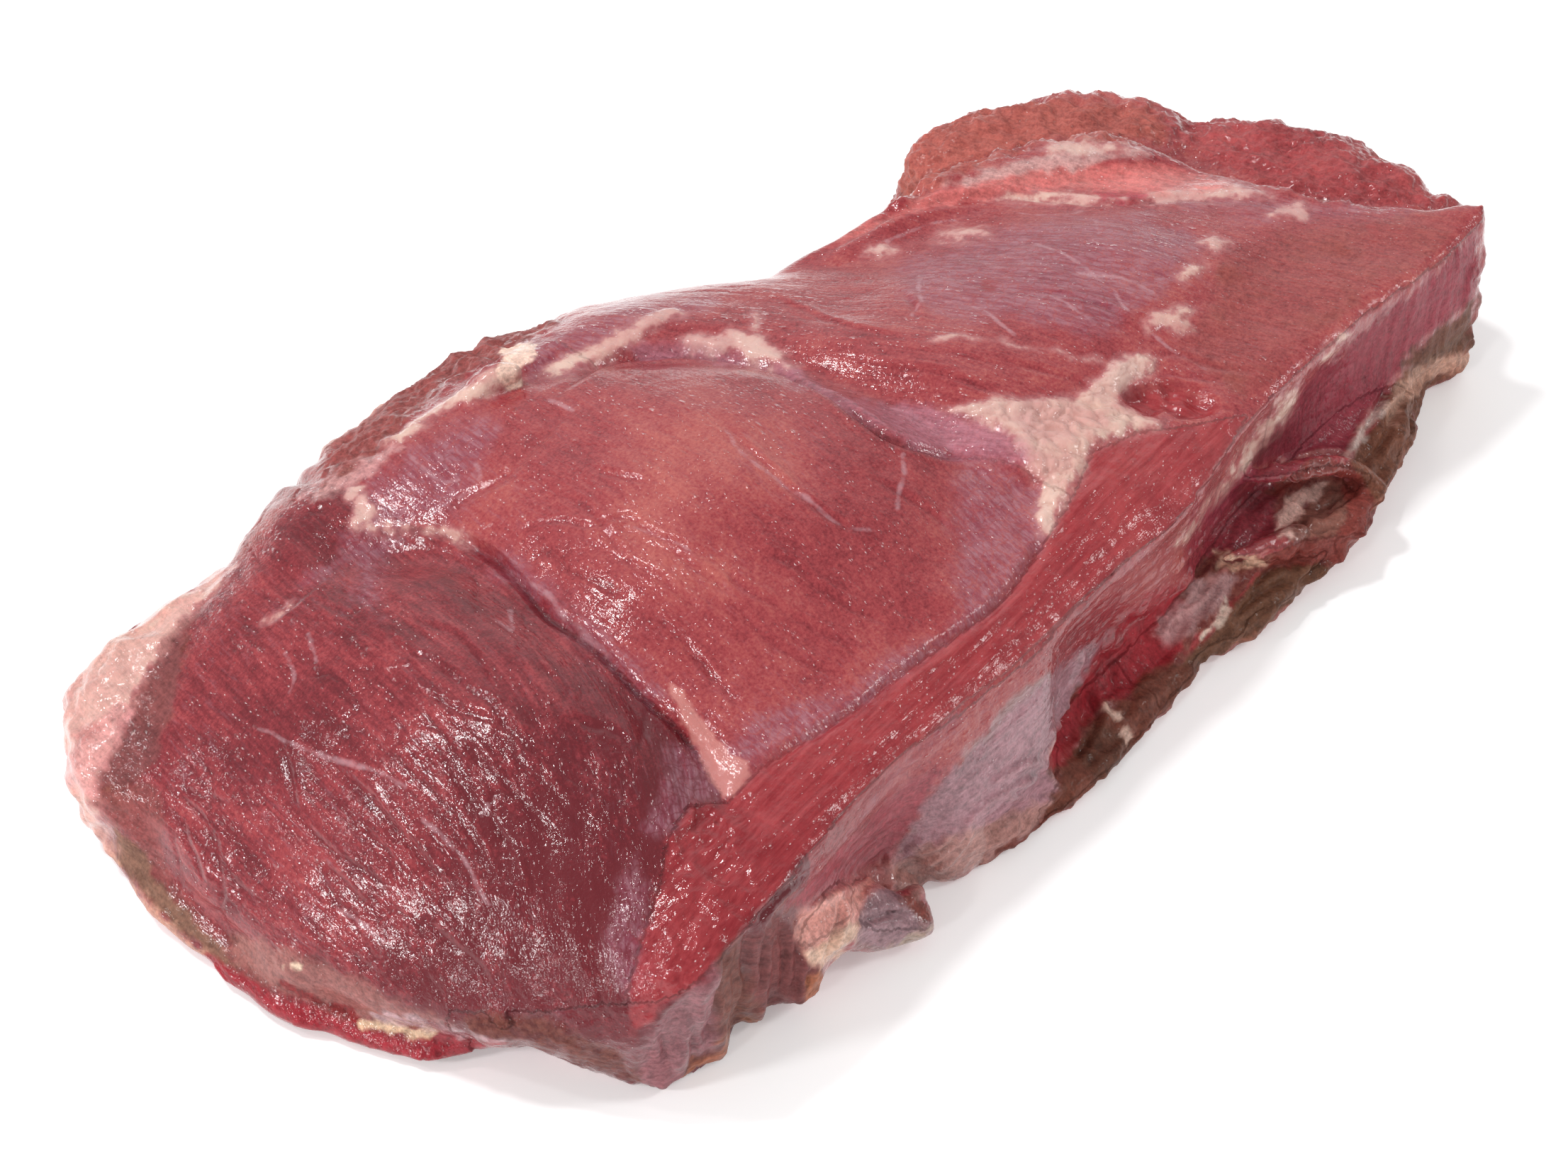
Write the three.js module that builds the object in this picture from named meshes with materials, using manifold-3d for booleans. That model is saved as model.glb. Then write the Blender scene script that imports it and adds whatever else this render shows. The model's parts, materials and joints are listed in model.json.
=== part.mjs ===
// A boned leg roast of wild boar, raw, lying on its outer side: one solid piece of meat.
// Millimetres, +Z up. +X runs along the roast from the rounded knuckle end to the rump end, and
// -Y is the long cut side. The origin is under the middle of the roast, on what it lies on.
//
// The body is a top surface stretched between four rims, side walls that fall from the rims to
// the foot, and a flat underside. Lobes and strips of meat, made as limbs of changing section,
// are joined to it where the knife left them.
import * as THREE from "three";
import { mergeVertices } from "three/addons/utils/BufferGeometryUtils.js";
import Module from "manifold-3d";

// Driving sizes of the body.
const FLESH_COLOUR = 0x8f3436;
// The crown is how far the top rises over a flat stretch between its rims. It comes up from each
// end over a share of the length, and a power under 1 makes a slope start steeply.
const CROWN = { rise: 19, sidePower: 0.75 };
const KNUCKLE_SLOPE = { share: 0.3, power: 0.6 };
const RUMP_SLOPE = { share: 0.45, power: 0.9 };
const SWELL_POWER = 1.2; // how fast a muscle's swell falls off towards its edge
const RIM_FADE = 6; // one over the share of the top where muscles and seams fade into the rims
const TOP_CELLS_LONG = 62;
const TOP_CELLS_WIDE = 30;
const WALL_ROWS = 6;
const GROOVE_HALF_WIDTH = 7;
const SEAM_SAMPLES = 60;
const WELD_DISTANCE = 1e-3;

// The rims where the top surface ends, as points from one corner to the next.
const KNUCKLE_CORNER = [-158, -68, 24];
const RUMP_CORNER = [167, -83, 53];
const BACK_CORNER = [117, 20, 49];
const HEEL_CORNER = [-150, 82, 30];
const CUT_RIM = [
  KNUCKLE_CORNER,
  [-146, -77, 38],
  [-124, -79, 45],
  [-86, -77, 47],
  [-39, -80, 46],
  [6, -82, 46],
  [30, -83, 47],
  [65, -78, 48],
  [109, -80, 50],
  [146, -84, 51],
  RUMP_CORNER,
];
const BACK_RIM = [
  HEEL_CORNER,
  [-110, 86, 42],
  [-60, 88, 46],
  [-20, 85, 50],
  [14, 66, 49],
  [48, 41, 47],
  [84, 32, 48],
  BACK_CORNER,
];
const KNUCKLE_RIM = [
  KNUCKLE_CORNER,
  [-167, -50, 21],
  [-175, -22, 19],
  [-178, 10, 19],
  [-175, 40, 21],
  [-166, 66, 26],
  HEEL_CORNER,
];
const RUMP_RIM = [
  RUMP_CORNER,
  [156, -62, 51],
  [145, -40, 52],
  [139, -12, 51],
  [130, 8, 51],
  BACK_CORNER,
];

// Each muscle swells the top: centre, half length, half width, turn in degrees, and height.
const MUSCLES = {
  knuckle: { x: -132, y: 2, long: 46, wide: 62, turn: 0, rise: 8 },
  topside: { x: -48, y: -2, long: 52, wide: 62, turn: 8, rise: 9 },
  rump: { x: 70, y: -18, long: 84, wide: 40, turn: -10, rise: 5 },
  cutEdge: { x: -20, y: -68, long: 90, wide: 14, turn: -2, rise: 3 },
  backStrip: { x: -60, y: 64, long: 66, wide: 24, turn: -8, rise: 5 },
};

// The seams between the muscles: the line each follows on the plan, and its depth.
const SEAMS = [
  {
    depth: 4.5,
    line: [
      [-100, 56],
      [-92, 32],
      [-96, 10],
      [-101, -14],
      [-104, -36],
      [-113, -54],
      [-126, -66],
    ],
  },
  {
    depth: 5,
    line: [
      [-44, 62],
      [-20, 47],
      [-4, 26],
      [1, 4],
      [7, -24],
      [8, -48],
      [34, -56],
    ],
  },
  {
    depth: 2.5,
    line: [
      [8, -50],
      [-6, -64],
      [-36, -71],
      [-70, -66],
      [-98, -58],
      [-118, -58],
    ],
  },
];

// How each wall leaves its rim, by the distance along it from 0 to 1: how far out the foot
// stands from the rim, and how far the wall bulges between them.
const CUT_WALL = {
  foot: [
    [0, -8],
    [0.1, -6],
    [0.2, -7],
    [0.27, -8],
    [0.32, 4],
    [0.41, 4],
    [0.46, -1],
    [0.75, 2],
    [1, 3],
  ],
  bulge: [
    [0, 1],
    [0.25, 0],
    [0.33, 2],
    [0.41, 3],
    [0.46, -4],
    [0.8, -4],
    [1, 0],
  ],
};
const BACK_WALL = {
  foot: [
    [0, -4],
    [0.5, -4],
    [1, 4],
  ],
  bulge: [
    [0, 7],
    [0.4, 12],
    [0.8, 7],
    [1, 2],
  ],
};
const KNUCKLE_WALL = {
  foot: [
    [0, -8],
    [0.2, -16],
    [0.45, -8],
    [1, -4],
  ],
  bulge: [
    [0, 1],
    [0.4, 4],
    [0.8, 3],
    [1, 7],
  ],
};
const RUMP_WALL = {
  foot: [
    [0, 3],
    [0.5, 6],
    [1, 4],
  ],
  bulge: [
    [0, 0],
    [0.5, 3],
    [1, 2],
  ],
};

// Limbs: the line each follows, and at every point its half width, half thickness and how far
// its width is tipped up from level, in degrees. A roundness under 1 makes the section boxier.
const LIMBS = {
  rumpFlap: {
    around: 16,
    along: 26,
    ragged: 0.03,
    roundness: 0.7,
    stations: [
      { at: [97, 42, 25], wide: 19, thick: 22, tip: -6 },
      { at: [119, 38, 26], wide: 22, thick: 23, tip: -6 },
      { at: [140, 24, 26], wide: 24, thick: 22, tip: -6 },
      { at: [151, 8, 26], wide: 25, thick: 21, tip: -4 },
      { at: [156, -8, 23], wide: 22, thick: 18, tip: 0 },
    ],
  },
  rumpLobe: {
    around: 16,
    along: 24,
    ragged: 0.04,
    roundness: 0.75,
    stations: [
      { at: [153, 8, 23], wide: 24, thick: 20, tip: -4 },
      { at: [162, -14, 24], wide: 28, thick: 21, tip: -4 },
      { at: [165, -40, 24], wide: 27, thick: 22, tip: -4 },
      { at: [165, -60, 25], wide: 23, thick: 22, tip: 0 },
      { at: [158, -76, 25], wide: 15, thick: 20, tip: 0 },
    ],
  },
  backBand: {
    around: 12,
    along: 26,
    ragged: 0.03,
    stations: [
      { at: [26, 44, 46], wide: 8, thick: 6, tip: -20 },
      { at: [62, 32, 48], wide: 10, thick: 7, tip: -20 },
      { at: [98, 22, 49], wide: 12, thick: 8, tip: -15 },
      { at: [125, 7, 49], wide: 10, thick: 8, tip: -10 },
      { at: [140, -18, 48], wide: 8, thick: 6, tip: 0 },
    ],
  },
  underFlap: {
    around: 12,
    along: 44,
    ragged: 0.07,
    stations: [
      { at: [-56, -74, 3], wide: 16, thick: 4.5, tip: -4 },
      { at: [-26, -77, 4], wide: 16, thick: 5, tip: -4 },
      { at: [-2, -77, 5], wide: 18, thick: 6, tip: -6 },
      { at: [24, -78, 6], wide: 18, thick: 6.5, tip: -6 },
      { at: [52, -80, 7], wide: 19, thick: 8, tip: -8 },
      { at: [82, -80, 8], wide: 19, thick: 8, tip: -8 },
      { at: [112, -77, 10], wide: 18, thick: 10, tip: -8 },
      { at: [140, -73, 10], wide: 16, thick: 9, tip: -8 },
      { at: [166, -73, 10], wide: 16, thick: 7, tip: -10 },
    ],
  },
  frontFlap: {
    around: 12,
    along: 28,
    ragged: 0.05,
    stations: [
      { at: [-136, 84, 11], wide: 17, thick: 11, tip: -10 },
      { at: [-156, 72, 10], wide: 17, thick: 10, tip: -12 },
      { at: [-164, 46, 8], wide: 17, thick: 9, tip: -14 },
      { at: [-166, 20, 6], wide: 16, thick: 7, tip: -10 },
      { at: [-166, -6, 4], wide: 16, thick: 5, tip: -6 },
      { at: [-158, -34, 4], wide: 14, thick: 4, tip: 0 },
    ],
  },
  heelFat: {
    around: 12,
    along: 22,
    ragged: 0.06,
    stations: [
      { at: [-98, 80, 28], wide: 7, thick: 8, tip: 0 },
      { at: [-119, 83, 26], wide: 12, thick: 13, tip: 0 },
      { at: [-137, 84, 24], wide: 16, thick: 14, tip: 0 },
      { at: [-152, 79, 22], wide: 17, thick: 13, tip: 0 },
      { at: [-162, 67, 17], wide: 15, thick: 12, tip: 0 },
      { at: [-166, 50, 13], wide: 12, thick: 9, tip: 0 },
    ],
  },
  skirt: {
    around: 10,
    along: 20,
    ragged: 0.08,
    stations: [
      { at: [-146, -60, 9], wide: 7, thick: 9, tip: 0 },
      { at: [-128, -65, 12], wide: 8, thick: 12, tip: 0 },
      { at: [-112, -72, 13], wide: 8, thick: 13, tip: 0 },
      { at: [-102, -75, 14], wide: 8, thick: 12, tip: 0 },
      { at: [-90, -71, 16], wide: 6, thick: 10, tip: 0 },
    ],
  },
  knob: {
    around: 10,
    along: 12,
    ragged: 0.03,
    stations: [
      { at: [-100, -70, 13], wide: 8, thick: 8, tip: 0 },
      { at: [-89, -79, 8], wide: 8, thick: 7, tip: 0 },
      { at: [-76, -86, 6], wide: 7, thick: 6, tip: 0 },
    ],
  },
  sinewLoop: {
    around: 8,
    along: 34,
    ragged: 0.04,
    stations: [
      { at: [62, -74, 28], wide: 3, thick: 3, tip: 60 },
      { at: [76, -84, 27], wide: 3.4, thick: 3, tip: 60 },
      { at: [90, -90, 22], wide: 4, thick: 3, tip: 50 },
      { at: [96, -95, 16], wide: 4.2, thick: 3, tip: 40 },
      { at: [90, -98, 13], wide: 4, thick: 3, tip: 30 },
      { at: [76, -95, 14], wide: 3.6, thick: 3, tip: 40 },
      { at: [59, -88, 17], wide: 3.2, thick: 3, tip: 50 },
      { at: [42, -84, 22], wide: 2.6, thick: 2.6, tip: 50 },
    ],
  },
  fatCurl: {
    around: 8,
    along: 10,
    ragged: 0.03,
    stations: [
      { at: [-58, 62, 58], wide: 3.5, thick: 3.5, tip: 0 },
      { at: [-48, 63, 63], wide: 4, thick: 4, tip: 0 },
      { at: [-40, 58, 64], wide: 3.5, thick: 3.5, tip: 0 },
    ],
  },
  fatBed: {
    around: 10,
    along: 14,
    ragged: 0.08,
    stations: [
      { at: [4, -30, 56], wide: 8, thick: 4, tip: 0 },
      { at: [14, -44, 54.5], wide: 12, thick: 4.5, tip: 0 },
      { at: [26, -54, 52.5], wide: 12, thick: 4, tip: 0 },
      { at: [44, -60, 51], wide: 7, thick: 3, tip: 0 },
    ],
  },
};
const WAVES = [1.3, 0.55]; // how far the two waves of a ragged edge turn at each ring
const END_SQUARENESS = 5; // a limb keeps its section almost to its ends
const FLOOR_LEVEL = 0; // what lies on the floor is trimmed flat here

const curveThrough = (points) =>
  new THREE.CatmullRomCurve3(
    points.map((p) => new THREE.Vector3(...p)),
    false,
    "centripetal",
  );

// A smooth value along a row of [place, value] pairs.
function valueAt(pairs, place) {
  const after = pairs.findIndex(([p]) => p >= place);
  if (after <= 0) return pairs[after < 0 ? pairs.length - 1 : 0][1];
  const [p0, v0] = pairs[after - 1];
  const [p1, v1] = pairs[after];
  return THREE.MathUtils.lerp(
    v0,
    v1,
    THREE.MathUtils.smoothstep(place, p0, p1),
  );
}

// How strongly one muscle swells the top at a point of the plan, from 0 to 1.
function swell(muscle, x, y) {
  const turn = THREE.MathUtils.degToRad(muscle.turn);
  const dx = x - muscle.x;
  const dy = y - muscle.y;
  const along = (dx * Math.cos(turn) + dy * Math.sin(turn)) / muscle.long;
  const across = (dy * Math.cos(turn) - dx * Math.sin(turn)) / muscle.wide;
  const distance = Math.min(1, Math.hypot(along, across));
  return (1 - distance ** 2) ** SWELL_POWER;
}

// The distance on the plan from a point to a line of points.
function distanceToLine(samples, x, y) {
  return Math.min(...samples.map((s) => Math.hypot(s.x - x, s.y - y)));
}

const seamSamples = SEAMS.map(({ line }) =>
  curveThrough(line.map(([x, y]) => [x, y, 0])).getSpacedPoints(SEAM_SAMPLES),
);

function seamDepth(x, y) {
  return SEAMS.reduce((deepest, seam, i) => {
    const distance = distanceToLine(seamSamples[i], x, y);
    const depth = seam.depth * Math.exp(-((distance / GROOVE_HALF_WIDTH) ** 2));
    return Math.max(deepest, depth);
  }, 0);
}

const rims = {
  cut: curveThrough(CUT_RIM),
  back: curveThrough(BACK_RIM),
  knuckle: curveThrough(KNUCKLE_RIM),
  rump: curveThrough(RUMP_RIM),
};

// The top surface: the four rims blended, then raised by the crown and the muscles and
// lowered along the seams.
function topPoint(u, v) {
  const p = new THREE.Vector3()
    .addScaledVector(rims.cut.getPointAt(u), 1 - v)
    .addScaledVector(rims.back.getPointAt(u), v)
    .addScaledVector(rims.knuckle.getPointAt(v), 1 - u)
    .addScaledVector(rims.rump.getPointAt(v), u)
    .addScaledVector(new THREE.Vector3(...KNUCKLE_CORNER), -(1 - u) * (1 - v))
    .addScaledVector(new THREE.Vector3(...HEEL_CORNER), -(1 - u) * v)
    .addScaledVector(new THREE.Vector3(...RUMP_CORNER), -u * (1 - v))
    .addScaledVector(new THREE.Vector3(...BACK_CORNER), -u * v);
  const inFromSides = Math.sin(Math.PI * v) ** CROWN.sidePower;
  const inFromEnds = Math.min(
    1,
    (u / KNUCKLE_SLOPE.share) ** KNUCKLE_SLOPE.power,
    ((1 - u) / RUMP_SLOPE.share) ** RUMP_SLOPE.power,
  );
  const rise = Object.values(MUSCLES).reduce(
    (sum, muscle) => sum + muscle.rise * swell(muscle, p.x, p.y),
    0,
  );
  const edge = Math.min(1, RIM_FADE * Math.min(u, 1 - u, v, 1 - v));
  p.z += CROWN.rise * inFromSides * inFromEnds;
  p.z += edge * (rise - seamDepth(p.x, p.y));
  return p;
}

// The closed skin of the body: top grid, walls and underside.
function bodyGeometry() {
  const positions = [];
  const faces = [];
  const add = (p) => positions.push(p.x, p.y, p.z) / 3 - 1;
  const grid = [];
  for (let i = 0; i <= TOP_CELLS_LONG; i++) {
    grid.push([]);
    for (let j = 0; j <= TOP_CELLS_WIDE; j++)
      grid[i].push(add(topPoint(i / TOP_CELLS_LONG, j / TOP_CELLS_WIDE)));
  }
  const quad = (a, b, c, d) => faces.push(a, b, c, a, c, d);
  for (let i = 0; i < TOP_CELLS_LONG; i++)
    for (let j = 0; j < TOP_CELLS_WIDE; j++)
      quad(
        grid[i][j],
        grid[i + 1][j],
        grid[i + 1][j + 1],
        grid[i][j + 1],
      );

  // The rim, anticlockwise from above, with the wall that falls from each of its points.
  const last = TOP_CELLS_LONG;
  const wide = TOP_CELLS_WIDE;
  const rim = [];
  for (let i = 0; i < last; i++)
    rim.push({ top: grid[i][0], wall: CUT_WALL, along: i / last });
  for (let j = 0; j < wide; j++)
    rim.push({ top: grid[last][j], wall: RUMP_WALL, along: j / wide });
  for (let i = last; i > 0; i--)
    rim.push({ top: grid[i][wide], wall: BACK_WALL, along: i / last });
  for (let j = wide; j > 0; j--)
    rim.push({ top: grid[0][j], wall: KNUCKLE_WALL, along: j / wide });
  const point = (index) =>
    new THREE.Vector3().fromArray(positions, index * 3);
  const count = rim.length;
  const spread = 4; // rim points each way that set the way out, so that corners turn smoothly
  rim.forEach((r, k) => {
    const before = point(rim[(k - spread + count) % count].top);
    const after = point(rim[(k + spread) % count].top);
    r.out = new THREE.Vector3(after.y - before.y, before.x - after.x, 0).normalize();
  });
  let upper = rim.map((r) => r.top);
  for (let row = 1; row <= WALL_ROWS; row++) {
    const down = row / WALL_ROWS;
    const lower = rim.map((r) => {
      const p = point(r.top);
      const out =
        valueAt(r.wall.foot, r.along) * down +
        valueAt(r.wall.bulge, r.along) * Math.sin(Math.PI * down);
      p.z *= 1 - down;
      return add(p.addScaledVector(r.out, out));
    });
    for (let k = 0; k < count; k++) {
      const next = (k + 1) % count;
      quad(upper[k], lower[k], lower[next], upper[next]);
    }
    upper = lower;
  }

  // The underside, flat on the floor.
  const outline = upper.map((index) => point(index));
  const flat = outline.map((p) => new THREE.Vector2(p.x, p.y));
  for (const [a, b, c] of THREE.ShapeUtils.triangulateShape(flat, []))
    faces.push(upper[a], upper[c], upper[b]);

  const geometry = new THREE.BufferGeometry();
  geometry.setAttribute(
    "position",
    new THREE.Float32BufferAttribute(positions, 3),
  );
  geometry.setIndex(faces);
  return geometry;
}

const squared = (value, power) => Math.sign(value) * Math.abs(value) ** power;

// A limb of meat or fat: rings of a rounded section along a line, closed at both ends.
function limbGeometry({ stations, around, along, ragged, roundness = 1 }) {
  const line = curveThrough(stations.map((s) => s.at));
  const places = stations.map((s, i) => i / (stations.length - 1));
  const sizeAt = (key, t) =>
    valueAt(
      stations.map((s, i) => [places[i], s[key]]),
      t,
    );
  const positions = [];
  const faces = [];
  const up = new THREE.Vector3(0, 0, 1);
  for (let i = 1; i < along; i++) {
    const t = i / along;
    const centre = line.getPoint(t);
    const ahead = line.getTangent(t);
    const side = new THREE.Vector3().crossVectors(ahead, up).normalize();
    const tip = THREE.MathUtils.degToRad(sizeAt("tip", t));
    const wideWay = side
      .clone()
      .multiplyScalar(Math.cos(tip))
      .addScaledVector(up, Math.sin(tip));
    const thickWay = new THREE.Vector3().crossVectors(wideWay, ahead);
    const closing = (1 - Math.abs(2 * t - 1) ** END_SQUARENESS) ** 0.5;
    const waver =
      1 + ragged * (Math.sin(i * WAVES[0]) + Math.sin(i * WAVES[1] + 1));
    for (let j = 0; j < around; j++) {
      const angle = (2 * Math.PI * j) / around;
      const p = centre
        .clone()
        .addScaledVector(
          wideWay,
          squared(Math.cos(angle), roundness) * sizeAt("wide", t) * closing * waver,
        )
        .addScaledVector(
          thickWay,
          squared(Math.sin(angle), roundness) * sizeAt("thick", t) * closing,
        );
      positions.push(p.x, p.y, p.z);
    }
  }
  const rings = along - 1;
  const start = positions.length / 3;
  positions.push(...line.getPoint(0).toArray(), ...line.getPoint(1).toArray());
  for (let j = 0; j < around; j++) {
    const next = (j + 1) % around;
    for (let i = 0; i < rings - 1; i++) {
      const a = i * around + j;
      const b = i * around + next;
      faces.push(a, b, b + around, a, b + around, a + around);
    }
    const end = (rings - 1) * around;
    faces.push(start, next, j, start + 1, end + j, end + next);
  }
  const geometry = new THREE.BufferGeometry();
  geometry.setAttribute(
    "position",
    new THREE.Float32BufferAttribute(positions, 3),
  );
  geometry.setIndex(faces);
  return geometry;
}

const wasm = await Module();
wasm.setup();

function solidOf(geometry) {
  const merged = mergeVertices(geometry, WELD_DISTANCE);
  const solid = new wasm.Manifold(
    new wasm.Mesh({
      numProp: 3,
      vertProperties: new Float32Array(merged.attributes.position.array),
      triVerts: new Uint32Array(merged.index.array),
    }),
  );
  if (solid.volume() > 0) return solid;
  for (let i = 0; i < merged.index.count; i += 3) {
    const second = merged.index.getX(i + 1);
    merged.index.setX(i + 1, merged.index.getX(i + 2));
    merged.index.setX(i + 2, second);
  }
  return solidOf(merged);
}

function geometryOf(solid) {
  const mesh = solid.getMesh();
  const geometry = new THREE.BufferGeometry();
  geometry.setAttribute(
    "position",
    new THREE.BufferAttribute(new Float32Array(mesh.vertProperties), 3),
  );
  geometry.setIndex(new THREE.BufferAttribute(mesh.triVerts, 1));
  return geometry;
}

// The body with all its limbs, trimmed where they would go under the floor.
function roastGeometry() {
  let solid = solidOf(bodyGeometry());
  for (const limb of Object.values(LIMBS))
    solid = solid.add(solidOf(limbGeometry(limb)));
  return geometryOf(solid.trimByPlane([0, 0, 1], FLOOR_LEVEL));
}

const flesh = new THREE.MeshStandardMaterial({
  color: FLESH_COLOUR,
  roughness: 0.35,
  metalness: 0,
});
const roast = new THREE.Mesh(roastGeometry(), flesh);
roast.name = "roast";

// The origin goes under the middle of the roast.
roast.geometry.computeBoundingBox();
const middle = roast.geometry.boundingBox.getCenter(new THREE.Vector3());
roast.geometry.translate(-middle.x, -middle.y, 0);

const part = new THREE.Group();
part.add(roast);

export default part;
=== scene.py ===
# %% [markdown]
# A raw, boned leg roast of wild boar, as it lies on the counter. It is one piece of meat, but a
# reader sees several things on it: muscles with their grain, mauve silverskin in the seams
# between them, cream fat, a bright cut band, a pale cut side and brown, half dried flaps.
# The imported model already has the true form. Here a copy of it gets a fine skin, every seam,
# crease and lump is pressed into that skin, and one material reads what was pressed where.

# %% Load the frame
import json
import math

import bpy
import numpy as np
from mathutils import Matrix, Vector, noise
from mathutils.bvhtree import BVHTree

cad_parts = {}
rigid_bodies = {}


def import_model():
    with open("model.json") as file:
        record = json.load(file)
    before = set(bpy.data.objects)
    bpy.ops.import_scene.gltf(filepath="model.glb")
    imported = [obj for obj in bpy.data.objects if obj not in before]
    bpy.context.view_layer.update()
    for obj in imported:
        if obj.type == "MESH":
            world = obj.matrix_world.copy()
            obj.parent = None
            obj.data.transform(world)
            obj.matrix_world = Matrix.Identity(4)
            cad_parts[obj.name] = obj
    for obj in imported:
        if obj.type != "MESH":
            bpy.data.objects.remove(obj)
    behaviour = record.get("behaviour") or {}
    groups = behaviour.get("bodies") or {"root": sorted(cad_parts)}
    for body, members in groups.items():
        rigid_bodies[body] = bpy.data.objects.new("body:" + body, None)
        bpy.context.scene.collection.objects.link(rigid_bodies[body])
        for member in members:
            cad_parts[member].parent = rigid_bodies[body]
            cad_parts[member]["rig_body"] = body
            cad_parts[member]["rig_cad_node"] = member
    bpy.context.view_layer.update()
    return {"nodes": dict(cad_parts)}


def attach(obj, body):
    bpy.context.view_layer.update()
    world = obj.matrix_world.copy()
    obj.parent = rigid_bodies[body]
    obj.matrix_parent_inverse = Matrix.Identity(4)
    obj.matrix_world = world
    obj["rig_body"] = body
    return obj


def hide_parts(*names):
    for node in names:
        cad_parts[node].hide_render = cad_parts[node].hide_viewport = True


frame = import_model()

MM = 0.001

# %% [markdown]
# The camera comes first, because the marks on the meat are read off the photograph: a pixel
# is a ray from the camera, and where the ray meets the meat is where the mark lies. The lens
# is a long one, so that the roast shows little perspective.

# %% Camera at the photograph's view
PICTURE_SIZE = (2212, 1659)
LENS = 80.0
SENSOR = 36.0
AZIMUTH = math.radians(-53)
ELEVATION = math.radians(42)
CAMERA_DISTANCE = 0.85
CAMERA_TARGET = Vector((-0.01285, 0.00756, 0.0))
CLIP_END = 20

level = math.cos(ELEVATION)
towards_camera = Vector((math.sin(AZIMUTH) * level, -math.cos(AZIMUTH) * level, math.sin(ELEVATION)))
bpy.ops.object.camera_add(
    location=CAMERA_TARGET + CAMERA_DISTANCE * towards_camera,
    rotation=towards_camera.to_track_quat("Z", "Y").to_euler(),
)
camera = bpy.context.object
camera.data.lens = LENS
camera.data.sensor_width = SENSOR
camera.data.clip_end = CLIP_END
bpy.context.scene.camera = camera
print("camera at", [round(c, 3) for c in camera.location])

# %% From a pixel to a ray, and from a place to its pixel
picture_right = Vector((0, 0, 1)).cross(towards_camera).normalized()
picture_up = towards_camera.cross(picture_right)
pixels_focal = LENS / SENSOR * PICTURE_SIZE[0]


def pixel_ray(pixel):
    """The direction in which the camera sees one pixel of the photograph."""
    across = float(pixel[0] - PICTURE_SIZE[0] / 2) / pixels_focal
    down = float(pixel[1] - PICTURE_SIZE[1] / 2) / pixels_focal
    return (across * picture_right - down * picture_up - towards_camera).normalized()


def pixels_of(points):
    """Where each point stands on the photograph, and how far it is from the camera."""
    offset = points - np.array(camera.location)
    depth = -offset @ np.array(towards_camera)
    across = PICTURE_SIZE[0] / 2 + pixels_focal * (offset @ np.array(picture_right)) / depth
    down = PICTURE_SIZE[1] / 2 - pixels_focal * (offset @ np.array(picture_up)) / depth
    return np.stack([across, down], axis=1), depth


print("the middle ray points", [round(c, 3) for c in pixel_ray((1106, 829.5))])

# %% [markdown]
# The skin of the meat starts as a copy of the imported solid. That solid has flat facets, so it
# is remeshed into small even squares and relaxed until the facets are gone. The knife's edge
# along the cut side, the thin loop of sinew and the curl of fat would melt away in that, so a
# vertex group keeps them out of it.

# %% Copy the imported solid
SKIN_CELL = 1.6 * MM
WELD = 0.01 * MM


def select_only(piece):
    bpy.ops.object.select_all(action="DESELECT")
    piece.select_set(True)
    bpy.context.view_layer.objects.active = piece


def apply_modifier(piece, kind, **settings):
    select_only(piece)
    modifier = piece.modifiers.new(kind.lower(), kind)
    for name, value in settings.items():
        setattr(modifier, name, value)
    bpy.ops.object.modifier_apply(modifier=modifier.name)


select_only(frame["nodes"]["roast"])
bpy.ops.object.duplicate()
flesh = bpy.context.object
flesh.name = "flesh"
bpy.ops.object.parent_clear(type="CLEAR_KEEP_TRANSFORM")
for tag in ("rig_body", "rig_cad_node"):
    del flesh[tag]
flesh.data.materials.clear()
bpy.ops.object.mode_set(mode="EDIT")
bpy.ops.mesh.select_all(action="SELECT")
bpy.ops.mesh.remove_doubles(threshold=WELD)
bpy.ops.object.mode_set(mode="OBJECT")
apply_modifier(flesh, "REMESH", mode="VOXEL", voxel_size=SKIN_CELL)
print("skin:", len(flesh.data.vertices), "vertices")


# %% Read and write the skin as arrays
def places(piece):
    values = np.empty(3 * len(piece.data.vertices))
    piece.data.vertices.foreach_get("co", values)
    return values.reshape(-1, 3)


def normals(piece):
    values = np.empty(3 * len(piece.data.vertices))
    piece.data.vertex_normals.foreach_get("vector", values)
    return values.reshape(-1, 3)


def move_to(piece, positions):
    piece.data.vertices.foreach_set("co", positions.ravel())
    piece.data.update()


def surface(piece):
    """The skin as a tree that rays can be cast at."""
    mesh = piece.data
    return BVHTree.FromPolygons([v.co for v in mesh.vertices], [f.vertices for f in mesh.polygons])


def corners_of_faces(mesh):
    """The vertex at every corner of every face, and where each face's corners start."""
    corners = np.empty(len(mesh.loops), int)
    mesh.loops.foreach_get("vertex_index", corners)
    starts = np.empty(len(mesh.polygons), int)
    mesh.polygons.foreach_get("loop_start", starts)
    return corners, starts


def select_faces(piece, chosen):
    """Leave the piece in edit mode with only the chosen faces selected."""
    select_only(piece)
    bpy.ops.object.mode_set(mode="EDIT")
    bpy.ops.mesh.select_mode(type="FACE")
    bpy.ops.mesh.select_all(action="DESELECT")
    bpy.ops.object.mode_set(mode="OBJECT")
    piece.data.polygons.foreach_set("select", chosen)
    bpy.ops.object.mode_set(mode="EDIT")


# %% A line drawn on the photograph becomes a line on the meat
LINE_STEP = 3.0  # pixels between the rays of one line
CHUNK = 4000  # points compared with a line at one time


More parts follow.
